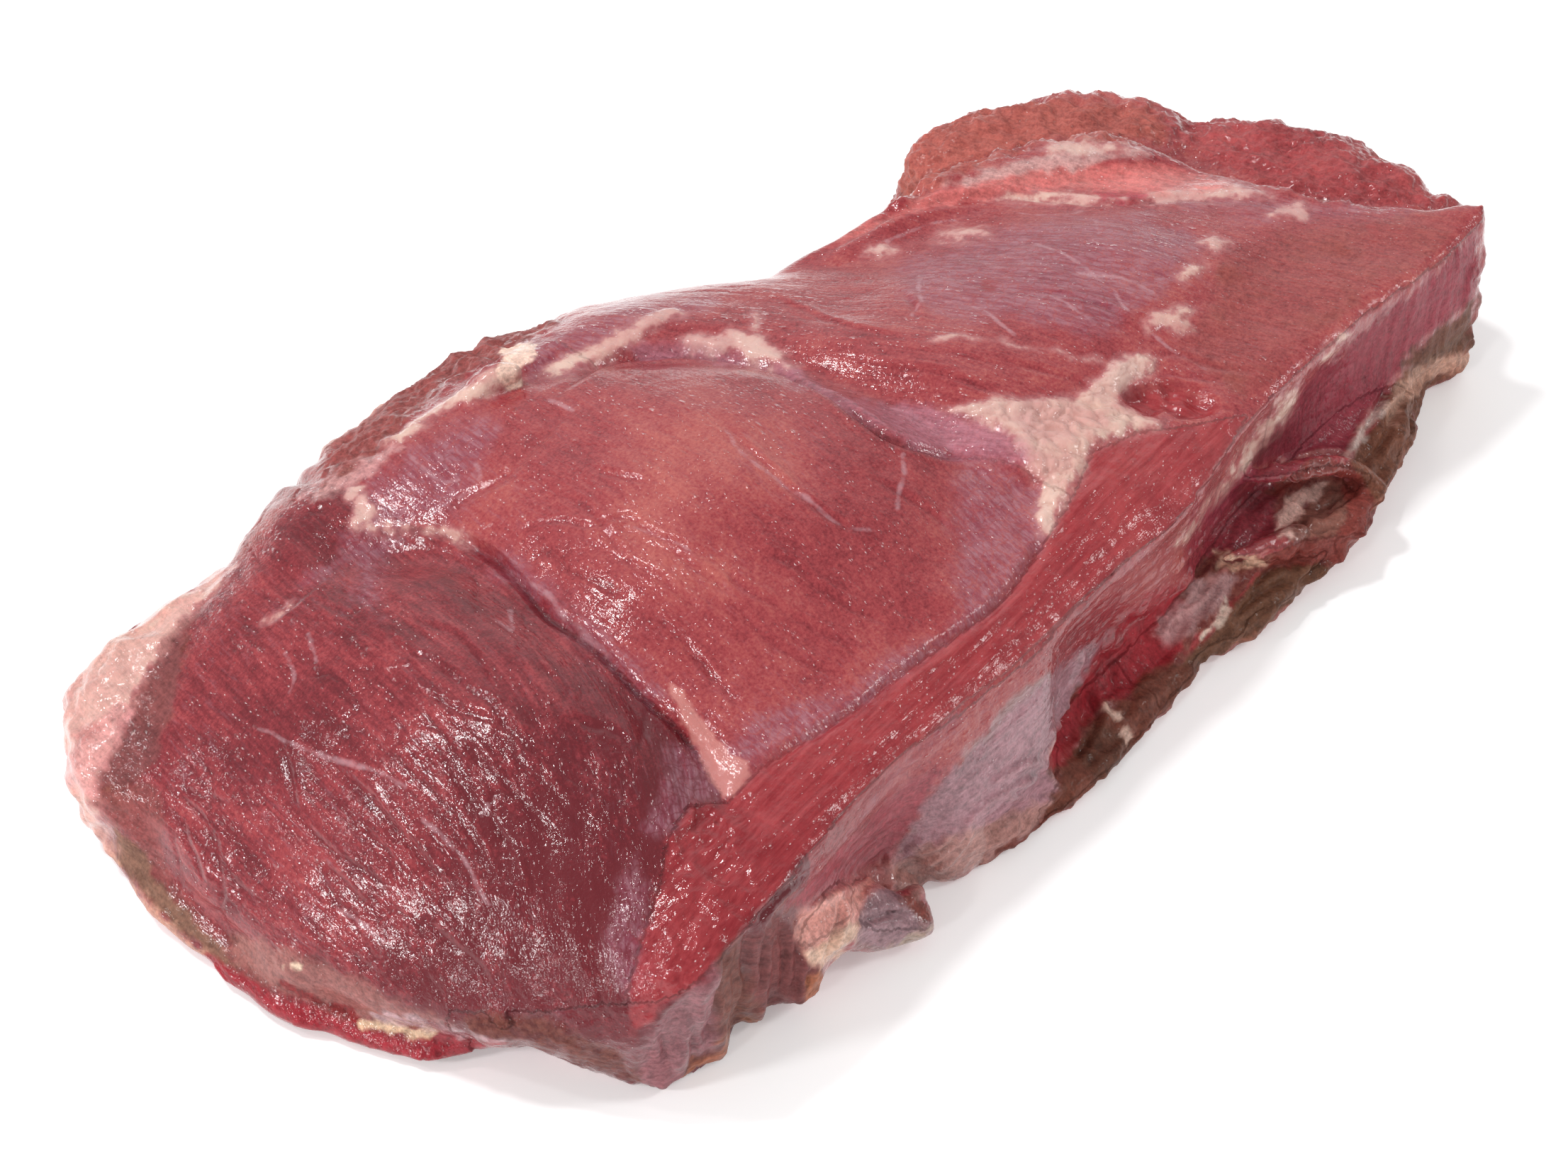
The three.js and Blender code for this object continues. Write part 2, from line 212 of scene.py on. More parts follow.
def smooth_line(corners, step):
    """Points a step apart on a smooth curve through the corners."""
    corners = np.array(corners, float)
    ends = np.vstack([2 * corners[0] - corners[1], corners, 2 * corners[-1] - corners[-2]])
    points = []
    for a, b, c, d in zip(ends, ends[1:], ends[2:], ends[3:]):
        first, second, third = c - a, 2 * a - 5 * b + 4 * c - d, 3 * b - a - 3 * c + d
        count = max(2, int(np.linalg.norm(c - b) / step))
        for t in np.arange(count) / count:
            points.append(0.5 * (2 * b + first * t + second * t**2 + third * t**3))
    return np.array(points + [corners[-1]])


def drawn_line(tree, pixels):
    """Where the rays through a line of pixels meet the meat."""
    hits = [tree.ray_cast(camera.location, pixel_ray(p))[0] for p in smooth_line(pixels, LINE_STEP)]
    return np.array([h for h in hits if h is not None])


def nearest_on(line, points, reach):
    """Distance from each point to a line, at most reach, and how far along the line it is."""
    distance = np.full(len(points), reach)
    along = np.zeros(len(points))
    near = np.all((points > line.min(0) - reach) & (points < line.max(0) + reach), axis=1)
    chosen = np.nonzero(near)[0]
    for part in np.array_split(chosen, max(1, len(chosen) // CHUNK)):
        gaps = np.linalg.norm(points[part, None] - line[None], axis=2)
        best = gaps.argmin(axis=1)
        distance[part] = np.minimum(gaps[np.arange(len(part)), best], reach)
        along[part] = best / max(1, len(line) - 1)
    return distance, along


print("lines are followed every", LINE_STEP, "pixels")

# %% Keep the edges crisp and relax the rest
CUT_RIM = [(892, 1469), (932, 1429), (985, 1384), (1040, 1331), (1093, 1263), (1128, 1219), (1191, 1161),
    (1235, 1107), (1303, 1045), (1351, 997), (1429, 940), (1507, 863), (1590, 791), (1683, 719), (1768, 588),
    (1807, 552), (1910, 461), (1975, 404), (2033, 365), (2085, 313)]
SINEW_LOOP = [(1718, 794), (1770, 787), (1825, 774), (1880, 765), (1924, 719), (1927, 686), (1903, 660),
    (1869, 653), (1825, 664), (1792, 671)]
FAT_CURL = [(712, 540), (724, 505), (745, 492)]

tree = surface(flesh)
at = places(flesh)
crisp = np.zeros(len(at))
for pixels, reach, strength in ((CUT_RIM, 7 * MM, 0.5), (SINEW_LOOP, 8 * MM, 0.97), (FAT_CURL, 8 * MM, 0.97)):
    distance, _ = nearest_on(drawn_line(tree, pixels), at, reach)
    crisp = np.maximum(crisp, strength * (1 - (distance / reach) ** 2))
relaxing = flesh.vertex_groups.new(name="relaxing")
for index, weight in enumerate((1 - crisp).tolist()):
    relaxing.add([index], weight, "REPLACE")
apply_modifier(flesh, "SMOOTH", factor=0.6, iterations=18, vertex_group="relaxing")
flesh.vertex_groups.clear()
print("kept crisp:", int((crisp > 0.3).sum()), "vertices")

# %% [markdown]
# The outline of a boned leg is never quite smooth: flaps hang out past it and the knife has
# nicked it. Where the photograph's outline stands a few millimetres in front of the packed
# solid's or behind it, the skin is pulled level along the counter, as with a sculptor's grab
# brush, by an amount that fades out around the place.

# %% Pull the outline out and in
PULLS = [  # place on the photograph, pull in pixels across and down, radius in pixels
    ((464, 652), (-11, -14), 170), ((741, 459), (6, 16), 90), ((553, 560), (-4, -6), 90),
    ((380, 725), (-9, -9), 105), ((1194, 332), (3, 6), 110), ((1272, 260), (9, 2), 50),
    ((1548, 144), (0, -7), 120), ((1758, 174), (0, 7), 70), ((1908, 205), (0, -7), 50),
    ((2079, 290), (12, -12), 70), ((2098, 315), (5, 0), 40), ((2020, 262), (-4, 8), 60),
    ((2085, 380), (12, 0), 80), ((2075, 450), (8, 2), 50), ((2030, 559), (-13, -13), 60),
    ((1963, 680), (9, 7), 50), ((1914, 763), (11, 9), 50), ((1847, 830), (-9, -9), 70),
    ((1790, 890), (-8, -8), 50), ((1681, 957), (-14, -11), 90), ((1565, 1080), (8, 9), 60),
    ((1609, 1040), (-9, -7), 50), ((1445, 1178), (14, 18), 165), ((1330, 1235), (4, 8), 50),
    ((1260, 1250), (4, 18), 45), ((1305, 1305), (7, 7), 40), ((2094, 290), (-9, 7), 45),
    ((1192, 1372), (-3, -13), 45), ((1134, 1416), (8, 13), 42), ((1051, 1460), (-9, -11), 40),
    ((924, 1532), (0, 9), 40), ((382, 1410), (-9, 20), 95), ((620, 1488), (0, 6), 120),
    ((702, 1480), (0, 10), 50), ((315, 1385), (-8, 8), 50), ((265, 1355), (-5, 6), 60),
    ((92, 1067), (9, 0), 40), ((92, 1112), (-7, 3), 35), ((133, 1189), (8, -4), 45),
    ((127, 935), (8, 7), 60),
]

nearer = Vector((towards_camera.x, towards_camera.y, 0)).normalized()
at = places(flesh)
spots, depth = pixels_of(at)
shift = np.zeros_like(at)
for place, (right, down), radius in PULLS:
    near = np.clip(1 - (np.linalg.norm(spots - place, axis=1) / radius) ** 2, 0, 1) ** 2
    pull = right * np.array(picture_right) + down / math.sin(ELEVATION) * np.array(nearer)
    shift += near[:, None] * pull
shift *= (depth / pixels_focal)[:, None]
move_to(flesh, at + shift)
print("largest pull:", round(1000 * np.linalg.norm(shift, axis=1).max(), 1), "mm")

# %% [markdown]
# Everything a reader sees on the meat is listed here once, by its place on the photograph. A
# seam or crease is a line, a film or a patch of fat is an outline. The photograph is
# 2212 by 1659 pixels, and about six of them go to a millimetre.

# %% Seams and creases on the photograph
SEAMS = {
    "knuckle": [(583, 744), (637, 755), (691, 784), (730, 819), (761, 854), (800, 886), (848, 924),
        (883, 956), (915, 988), (946, 1016), (972, 1045), (1004, 1096), (1020, 1131)],
    "topside far": [(781, 557), (844, 516), (908, 502), (985, 500), (1055, 512), (1099, 528), (1163, 554),
        (1202, 579), (1233, 602), (1265, 621), (1329, 640), (1393, 646), (1438, 657)],
    "topside cut": [(1450, 672), (1466, 707), (1476, 745), (1457, 790), (1431, 828), (1393, 866),
        (1348, 898), (1310, 924), (1265, 956), (1214, 994), (1157, 1032), (1112, 1058), (1074, 1083),
        (1048, 1109), (1023, 1134)],
    "topside left": [(781, 579), (774, 605), (742, 643), (710, 675), (659, 701), (637, 726), (631, 752)],
    "rump band": [(1131, 377), (1185, 343), (1273, 297), (1374, 279), (1489, 282), (1564, 288), (1631, 284),
        (1699, 281), (1767, 286)],
}
CREASES = {
    "topside": [
        [(1029, 847), (1061, 879), (1087, 905), (1106, 917), (1128, 930), (1163, 943), (1202, 962)],
        [(1010, 790), (1048, 828), (1106, 860), (1151, 889), (1189, 908), (1214, 930)],
        [(1023, 599), (1055, 630), (1087, 662), (1119, 691), (1157, 720), (1189, 739), (1233, 758)],
        [(736, 752), (755, 739), (793, 732), (838, 739), (883, 726), (921, 752), (966, 771), (1004, 790)],
        [(838, 662), (870, 669), (908, 678)],
        [(966, 911), (997, 943), (1029, 975), (1048, 994)],
        [(946, 777), (985, 803), (1029, 835)],
        [(800, 701), (832, 720), (857, 752), (883, 784)],
        [(742, 809), (768, 777), (800, 803), (857, 828), (889, 841)],
        [(1233, 675), (1272, 694), (1310, 720), (1348, 752)],
        [(1074, 777), (1119, 796), (1157, 828), (1195, 854), (1253, 879)],
        [(908, 860), (946, 886), (985, 924), (1010, 962)],
        [(857, 777), (908, 803), (946, 828), (985, 860), (1010, 892)],
    ],
    "knuckle": [
        [(542, 866), (569, 917), (601, 928), (639, 954), (665, 976), (692, 992), (730, 1040), (772, 1072),
         (810, 1099), (848, 1126), (885, 1158)],
        [(596, 874), (644, 895), (676, 933), (692, 970)],
        [(478, 949), (526, 944), (569, 965), (628, 992), (703, 1019), (751, 1045)],
        [(451, 1019), (505, 1029), (542, 1056), (585, 1094), (622, 1126), (655, 1163), (681, 1206),
         (698, 1249)],
        [(435, 1061), (478, 1088), (521, 1126), (558, 1163), (590, 1201), (617, 1238), (639, 1276)],
        [(424, 1152), (446, 1179), (483, 1211), (521, 1233), (553, 1260)],
        [(703, 1019), (724, 1061), (772, 1110), (810, 1147), (853, 1185), (885, 1222)],
        [(617, 1061), (649, 1104), (676, 1136), (703, 1169), (724, 1211), (735, 1254)],
        [(226, 1110), (285, 1121), (339, 1134), (392, 1135)],
        [(221, 1110), (264, 1131), (296, 1169), (309, 1222), (313, 1276), (322, 1319)],
        [(248, 1158), (272, 1201), (290, 1249)],
        [(601, 1297), (628, 1324), (655, 1345), (681, 1372), (692, 1404)],
        [(746, 928), (778, 954), (797, 981), (797, 1002)],
        [(805, 1008), (837, 1024), (864, 1032), (896, 1061)],
        [(371, 882), (408, 861), (435, 836), (462, 815), (483, 804)],
        [(446, 1211), (489, 1249), (521, 1281)],
        [(467, 1072), (510, 1104), (542, 1147), (574, 1185), (601, 1222), (622, 1265)],
        [(392, 1040), (408, 1083), (419, 1147)],
        [(655, 1040), (687, 1083), (735, 1126), (778, 1169), (821, 1211)],
        [(505, 1158), (531, 1185), (558, 1217), (585, 1249)],
        [(596, 997), (628, 1040), (655, 1083)],
    ],
    "rump": [
        [(1091, 417), (1151, 444), (1212, 465), (1273, 478)],
        [(1185, 499), (1253, 519), (1320, 526), (1388, 546), (1429, 553)],
        [(1429, 512), (1483, 526), (1523, 539), (1550, 559)],
        [(1631, 526), (1679, 532), (1726, 539)],
        [(1273, 411), (1293, 438), (1287, 458)],
        [(1469, 411), (1537, 424), (1577, 444), (1591, 472)],
        [(1618, 499), (1672, 505), (1719, 519), (1767, 526)],
    ],
}
CORDS = [
    [(1488, 1117), (1464, 1101), (1431, 1111), (1388, 1139), (1366, 1160), (1355, 1182), (1334, 1204),
     (1312, 1220)],
    [(1475, 1079), (1442, 1079), (1404, 1101)],
    [(1361, 1160), (1367, 1182), (1350, 1204), (1328, 1225)],
    [(1290, 1204), (1323, 1193), (1345, 1171)],
    [(1252, 1220), (1279, 1204), (1301, 1187)],
    [(1523, 933), (1502, 987), (1485, 1041), (1472, 1079), (1491, 1111), (1488, 1130)],
    [(1117, 1290), (1155, 1274), (1204, 1252), (1252, 1231)],
    [(1247, 1247), (1258, 1225), (1252, 1209)],
    [(1420, 1122), (1453, 1133), (1485, 1133)],
    [(1794, 657), (1848, 641), (1888, 634)],
    [(1726, 803), (1692, 850), (1658, 874)],
    [(1733, 708), (1699, 755), (1658, 803)],
]
FOLDS = [
    [(1026, 1350), (1017, 1388), (1008, 1437), (1003, 1469)],
    [(1057, 1312), (1057, 1366), (1052, 1404), (1041, 1437)],
    [(1079, 1301), (1076, 1350), (1063, 1404)],
    [(1102, 1296), (1104, 1350), (1101, 1404)],
    [(1123, 1328), (1121, 1372), (1118, 1404)],
    [(976, 1420), (981, 1469), (976, 1502)],
    [(933, 1453), (938, 1496)],
    [(1204, 1301), (1247, 1291), (1279, 1288)],
    [(1139, 1361), (1136, 1388)],
    [(1529, 960), (1548, 1008), (1534, 1046), (1513, 1079)],
    [(1182, 1269), (1188, 1290), (1174, 1328), (1163, 1353)],
    [(1063, 1301), (1106, 1258), (1139, 1231)],
    [(1983, 553), (1956, 607), (1942, 654)],
    [(1996, 553), (1993, 607)],
    [(1963, 539), (1936, 586), (1922, 620)],
    [(1794, 695), (1848, 662), (1895, 655)],
    [(1821, 701), (1861, 715), (1895, 701)],
    [(1827, 728), (1861, 749), (1888, 742)],
    [(1767, 837), (1794, 803), (1848, 789)],
    [(1740, 877), (1780, 837), (1834, 816)],
    [(1814, 837), (1854, 803), (1888, 782)],
    [(1625, 900), (1658, 850), (1699, 796), (1719, 769)],
]
PALE = [
    [(1556, 998), (1578, 1008), (1599, 1030), (1594, 1046)],
    [(1534, 1057), (1552, 1069), (1545, 1085)],
    [(1204, 1304), (1193, 1323), (1175, 1335)],
    [(1155, 1350), (1166, 1361)],
    [(1986, 526), (1973, 556), (1925, 593), (1903, 641)],
    [(2017, 529), (2064, 507), (2086, 494)],
    [(2007, 526), (2023, 539), (2017, 559)],
    [(1848, 695), (1821, 715), (1800, 749)],
]
WEB = [
    [(1023, 605), (1061, 650), (1106, 681), (1151, 713), (1189, 739), (1233, 752)],
    [(774, 562), (806, 579)],
    [(672, 656), (675, 675), (648, 701)],
    [(1275, 643), (1273, 675), (1265, 720)],
    [(742, 815), (781, 847), (819, 892), (857, 924)],
    [(717, 860), (723, 886)],
    [(883, 739), (934, 758), (972, 777)],
    [(538, 704), (564, 720), (602, 726), (634, 707)],
    [(577, 637), (615, 675), (647, 675)],
    [(1293, 390), (1300, 424), (1287, 444)],
    [(1523, 385), (1577, 390), (1625, 412)],
    [(1429, 297), (1469, 303), (1523, 297)],
    [(1543, 303), (1552, 331)],
    [(1652, 316), (1658, 338)],
    [(1456, 343), (1510, 363), (1564, 404), (1591, 438)],
    [(1334, 424), (1388, 438), (1429, 472)],
    [(1253, 343), (1293, 323), (1347, 313)],
    [(1483, 417), (1523, 444), (1564, 458)],
    [(1625, 472), (1658, 499), (1699, 519)],
    [(403, 917), (414, 954), (408, 976)],
    [(435, 895), (446, 933)],
    [(698, 869), (719, 890)],
    [(360, 1029), (435, 1061), (515, 1083), (574, 1110)],
    [(687, 1136), (676, 1152)],
    [(478, 1276), (542, 1329)],
    [(596, 1158), (649, 1206), (692, 1276)],
]
CORD_WIDTH = 1.6  # mm, as the next two
SHRED_WIDTH = 1.8
THREAD_WIDTH = 0.8
print(len(SEAMS), "seams,", len(FOLDS), "folds,", len(WEB), "threads of film")

# %% [markdown]
# Fat is trimmed off a leg roast, so what is left of it sits in strips and crumbs where the knife
# could not reach: in the seams, in the hollow where three muscles meet, and round the heel. The
# outlines also hold the mauve films, the dried brown places and the red of the last cuts.

# %% Fat, film and dried places on the photograph
FAT_LINES = [  # line, width in mm
    ([(503, 694), (519, 720), (506, 739)], 4.0),
    ([(506, 742), (564, 745), (602, 742), (637, 752), (659, 768)], 2.2),
    ([(373, 877), (392, 868), (408, 855)], 1.2),
    ([(561, 621), (589, 599), (621, 576), (659, 553), (698, 536), (723, 525)], 4.6),
    ([(781, 525), (825, 506), (857, 490), (889, 471), (915, 455), (946, 442)], 5.0),
    ([(972, 490), (1010, 487), (1036, 474), (1055, 481), (1074, 493)], 5.0),
    ([(1055, 493), (1087, 509), (1109, 519)], 3.0),
    ([(1064, 433), (1064, 452), (1055, 471)], 1.3),
    ([(1310, 482), (1361, 477), (1415, 485), (1469, 494), (1523, 504), (1564, 512)], 0.8),
]
FILM_LINES = [  # line, width in mm
    ([(700, 786), (745, 822), (778, 850), (815, 882), (862, 916), (900, 948), (930, 980)], 4.5),
    ([(1352, 1010), (1300, 1062), (1240, 1120), (1190, 1180), (1130, 1240)], 2.0),
]
PATCHES = {
    "knob root": [(1208, 1236), (1255, 1230), (1305, 1240), (1312, 1262), (1270, 1280), (1215, 1272)],
    "tendon": [(943, 962), (965, 975), (985, 1010), (1010, 1045), (1052, 1075), (1062, 1095), (1035, 1122),
        (1018, 1125), (1000, 1095), (985, 1060), (965, 1020), (950, 990)],
    "heel fat": [(328, 794), (301, 807), (274, 832), (221, 864), (172, 895), (143, 922), (116, 941),
        (95, 970), (60, 997), (50, 1019), (60, 1072), (70, 1110), (90, 1136), (110, 1170), (155, 1217),
        (162, 1201), (146, 1163), (132, 1115), (140, 1088), (154, 1067), (167, 1045), (175, 1013),
        (194, 970), (215, 938), (242, 906), (266, 869), (290, 842)],
    "heel facet": [(245, 903), (266, 869), (282, 866), (275, 917), (259, 965), (248, 997), (237, 1040),
        (226, 1083), (215, 1115), (194, 1136), (167, 1163), (146, 1139), (134, 1115), (151, 1067),
        (175, 1013), (194, 970), (215, 938)],
    "green band": [(156, 1158), (181, 1190), (210, 1217), (253, 1249), (290, 1292), (322, 1329), (360, 1345),
        (408, 1364), (408, 1407), (360, 1395), (328, 1372), (290, 1340), (237, 1308), (189, 1260),
        (162, 1217), (143, 1182)],
    "wet flap": [(296, 1345), (339, 1372), (381, 1402), (435, 1423), (478, 1428), (515, 1442), (558, 1463),
        (628, 1464), (676, 1462), (719, 1472), (676, 1490), (622, 1520), (558, 1520), (505, 1500),
        (456, 1475), (392, 1450), (339, 1420), (280, 1380)],
    "low brown": [(317, 1308), (381, 1335), (435, 1361), (489, 1391), (542, 1416), (622, 1427), (681, 1423),
        (756, 1426), (821, 1447), (885, 1485), (906, 1511), (906, 1544), (837, 1530), (756, 1500),
        (676, 1475), (596, 1442), (531, 1420), (435, 1391), (360, 1369), (317, 1329)],
    "mauve top": [(467, 748), (526, 755), (574, 753), (553, 791), (538, 815), (534, 874), (515, 871),
        (499, 850), (482, 861), (489, 835), (505, 820), (494, 805), (456, 815), (419, 832), (451, 802),
        (478, 776)],
    "mauve lens": [(864, 1238), (900, 1206), (917, 1254), (917, 1356), (900, 1410), (880, 1399), (858, 1356),
        (852, 1308), (864, 1265)],
    "bruise": [(317, 1008), (403, 997), (467, 1029), (467, 1072), (392, 1115), (306, 1110), (248, 1083),
        (242, 1040)],
    "top film": [(1444, 672), (1485, 701), (1485, 739), (1457, 777), (1438, 815), (1406, 854), (1374, 892),
        (1329, 914), (1291, 944), (1256, 972), (1227, 1004), (1176, 1032), (1112, 1050), (1077, 1080),
        (1056, 1112), (1026, 1096), (1010, 1058), (1029, 1029), (1074, 1010), (1112, 991), (1163, 968),
        (1214, 962), (1265, 930), (1323, 892), (1355, 860), (1348, 803), (1348, 752), (1335, 701),
        (1380, 659)],
    "left mauve": [(500, 701), (538, 666), (577, 634), (628, 606), (685, 591), (714, 604), (691, 643),
        (667, 675), (648, 707), (639, 747), (589, 739), (557, 747), (526, 753), (500, 761)],
    "seam mauve": [(883, 491), (946, 485), (1029, 498), (1074, 514), (1119, 521), (1176, 553), (1233, 567),
        (1304, 572), (1367, 591), (1418, 610), (1452, 651), (1418, 654), (1355, 641), (1291, 629),
        (1240, 600), (1202, 581), (1151, 552), (1112, 533), (1061, 517), (985, 503), (908, 504)],
    "back wedge": [(746, 484), (787, 458), (883, 426), (959, 420), (1010, 420), (972, 446), (915, 477),
        (857, 509), (800, 522), (755, 538), (737, 522)],
    # lighter topside: partly its salmon colour, partly painted sheen where a broad soft highlight lies
    "salmon and painted sheen": [(895, 688), (857, 630), (883, 579), (985, 567), (1074, 586), (1112, 637), (1138, 694),
        (1074, 688), (997, 701), (959, 752), (1023, 803), (1010, 854), (946, 860), (883, 803), (857, 739)],
    "back brown": [(460, 637), (490, 580), (545, 530), (622, 475), (705, 445), (793, 442), (781, 465),
        (736, 484), (691, 516), (615, 557), (577, 587), (538, 630), (500, 670), (450, 710)],
    "film foot": [(940, 1051), (985, 1045), (1010, 1083), (1048, 1096), (1036, 1128), (985, 1134),
        (946, 1170), (908, 1170), (934, 1122)],
    "rump mauve": [(1253, 397), (1293, 363), (1354, 336), (1429, 316), (1523, 297), (1611, 301), (1679, 316),
        (1692, 350), (1658, 390), (1625, 424), (1591, 444), (1564, 482), (1489, 468), (1415, 455),
        (1341, 444), (1280, 428)],
    "rump film": [(1658, 280), (1726, 272), (1794, 277), (1861, 286), (1929, 286), (1983, 297), (1861, 313),
        (1780, 309), (1712, 301), (1658, 297)],
    "rump brown": [(1699, 438), (1726, 357), (1807, 323), (1895, 316), (1996, 301), (2064, 303), (2051, 336),
        (1996, 377), (1929, 417), (1875, 458), (1834, 499), (1794, 539), (1753, 566), (1699, 526),
        (1658, 488)],
    "lobe": [(1255, 310), (1255, 255), (1270, 210), (1290, 170), (1340, 140), (1420, 120), (1560, 118),
        (1640, 130), (1700, 155), (1800, 155), (1900, 180), (1990, 230), (2070, 285), (1960, 290),
        (1860, 282), (1780, 266), (1710, 232), (1630, 205), (1560, 198), (1480, 203), (1400, 228),
        (1340, 252), (1285, 285)],
    "pink band": [(1145, 350), (1253, 297), (1354, 252), (1469, 225), (1577, 220), (1658, 228), (1726, 252),
        (1767, 272), (1692, 277), (1631, 277), (1591, 286), (1564, 279), (1510, 279), (1429, 277),
        (1354, 286), (1273, 309), (1199, 336), (1138, 367)],
    "pink fat a": [(1415, 272), (1510, 270), (1564, 277), (1584, 282), (1523, 286), (1442, 284),
        (1388, 282)],
    "pink fat b": [(1618, 270), (1672, 259), (1726, 259), (1753, 265), (1794, 277), (1753, 281), (1699, 284),
        (1645, 288), (1611, 282)],
    "peach": [(1469, 215), (1483, 200), (1523, 196), (1577, 202), (1618, 218), (1564, 220), (1516, 223),
        (1483, 225)],
    "fat bed": [(1347, 574), (1402, 563), (1456, 563), (1516, 559), (1550, 532), (1571, 509), (1604, 499),
        (1630, 509), (1628, 526), (1596, 534), (1581, 553), (1584, 573), (1611, 588), (1645, 593),
        (1638, 607), (1591, 612), (1554, 624), (1535, 641), (1527, 671), (1516, 695), (1496, 728),
        (1483, 759), (1468, 762), (1459, 732), (1466, 695), (1449, 661), (1422, 617), (1374, 593),
        (1320, 581)],
    "wet pit": [(1581, 551), (1611, 543), (1645, 534), (1692, 547), (1716, 566), (1719, 581), (1692, 588),
        (1662, 586), (1645, 574), (1625, 586), (1591, 568)],
    "crumb a": [(1611, 455), (1625, 444), (1658, 438), (1675, 431), (1682, 441), (1669, 451), (1685, 468),
        (1672, 470), (1645, 461), (1621, 468)],
    "crumb b": [(1662, 387), (1682, 374), (1702, 374), (1692, 387), (1669, 396)],
    "crumb c": [(1689, 343), (1709, 335), (1733, 343), (1716, 353)],
    "crumb d": [(1787, 306), (1814, 292), (1838, 282), (1849, 297), (1841, 309), (1800, 311)],
    "crumb e": [(1314, 338), (1341, 324), (1388, 321), (1396, 331), (1354, 340)],
    "crumb f": [(1219, 358), (1243, 346), (1266, 353), (1239, 365)],
    "red bit a": [(1381, 399), (1391, 390), (1408, 397), (1407, 412), (1388, 411)],
    "red bit b": [(1919, 316), (1936, 313), (1952, 323), (1946, 335), (1929, 330)],
    "seam fat": [(1050, 478), (1070, 472), (1091, 488), (1118, 512), (1097, 520), (1064, 512), (1050, 509)],
    "rim white": [(1834, 539), (1807, 559), (1780, 600), (1746, 647), (1712, 695), (1679, 742), (1658, 769),
        (1679, 762), (1719, 715), (1760, 668), (1800, 620), (1827, 580)],
    "rim crumb": [(1865, 499), (1878, 482), (1898, 468), (1903, 472), (1888, 490), (1871, 513), (1860, 511)],
    "cut band": [(1023, 1134), (1048, 1109), (1074, 1083), (1112, 1058), (1157, 1032), (1214, 994),
        (1265, 956), (1310, 924), (1348, 898), (1393, 866), (1431, 828), (1457, 790), (1480, 755),
        (1520, 690), (1540, 640), (1600, 612), (1680, 600), (1760, 585), (1683, 719), (1590, 791),
        (1507, 863), (1429, 940), (1351, 997), (1303, 1045), (1235, 1107), (1191, 1161), (1128, 1219),
        (1093, 1263), (1040, 1331), (985, 1384), (932, 1429), (892, 1469), (885, 1400), (905, 1330),
        (930, 1250), (943, 1180), (970, 1139)],
    "lumpy tip": [(943, 1176), (970, 1139), (1014, 1133), (1052, 1171), (1068, 1225), (1079, 1269),
        (1041, 1312), (998, 1350), (954, 1388), (933, 1399), (922, 1366), (938, 1312), (960, 1258),
        (951, 1214)],
    "silver sheet": [(1545, 911), (1578, 889), (1523, 960), (1502, 998), (1485, 1041), (1472, 1079),
        (1491, 1117), (1485, 1139), (1453, 1166), (1420, 1198), (1366, 1231), (1323, 1255), (1279, 1260),
        (1252, 1225), (1279, 1182), (1296, 1149), (1323, 1106), (1361, 1057), (1410, 1008), (1464, 965)],
    "grey lobe": [(1214, 1279), (1247, 1263), (1279, 1274), (1301, 1290), (1325, 1307), (1310, 1340),
        (1269, 1350), (1236, 1345), (1204, 1335), (1198, 1307)],
    "grey skirt": [(900, 1475), (933, 1442), (965, 1410), (1008, 1366), (1052, 1317), (1090, 1290),
        (1117, 1286), (1122, 1328), (1133, 1350), (1157, 1361), (1170, 1410), (1080, 1440), (1052, 1450),
        (1035, 1500), (980, 1520), (933, 1560), (900, 1550), (867, 1507)],
    "skirt edge": [(1157, 1363), (1180, 1420), (1117, 1435), (1068, 1440), (1055, 1455), (1040, 1510),
        (990, 1515), (976, 1535), (960, 1513), (1003, 1485), (1019, 1442), (1046, 1426), (1079, 1412),
        (1139, 1404), (1147, 1372)],
    "hollow": [(1545, 911), (1578, 878), (1659, 835), (1686, 867), (1659, 927), (1621, 949), (1567, 987),
        (1529, 1025), (1534, 1057), (1502, 1084), (1475, 1090), (1475, 1063), (1491, 1025), (1507, 992)],
}
FATTY_PATCHES = ("heel fat", "pink fat a", "pink fat b", "peach", "fat bed", "crumb a", "crumb b", "crumb c",
                 "crumb d", "crumb e", "crumb f", "seam fat", "rim crumb", "rim white")
FILMY_PATCHES = ("mauve top", "mauve lens", "top film", "left mauve", "seam mauve", "back wedge", "film foot",
                 "rump mauve", "rump film")
print(len(PATCHES), "patches")

# %% [markdown]
# The sides that the photograph doesn't show get seams and fat too. They are given by two
# coordinates in mm: x and z from the back, y and z on the thick end, x and y from below.

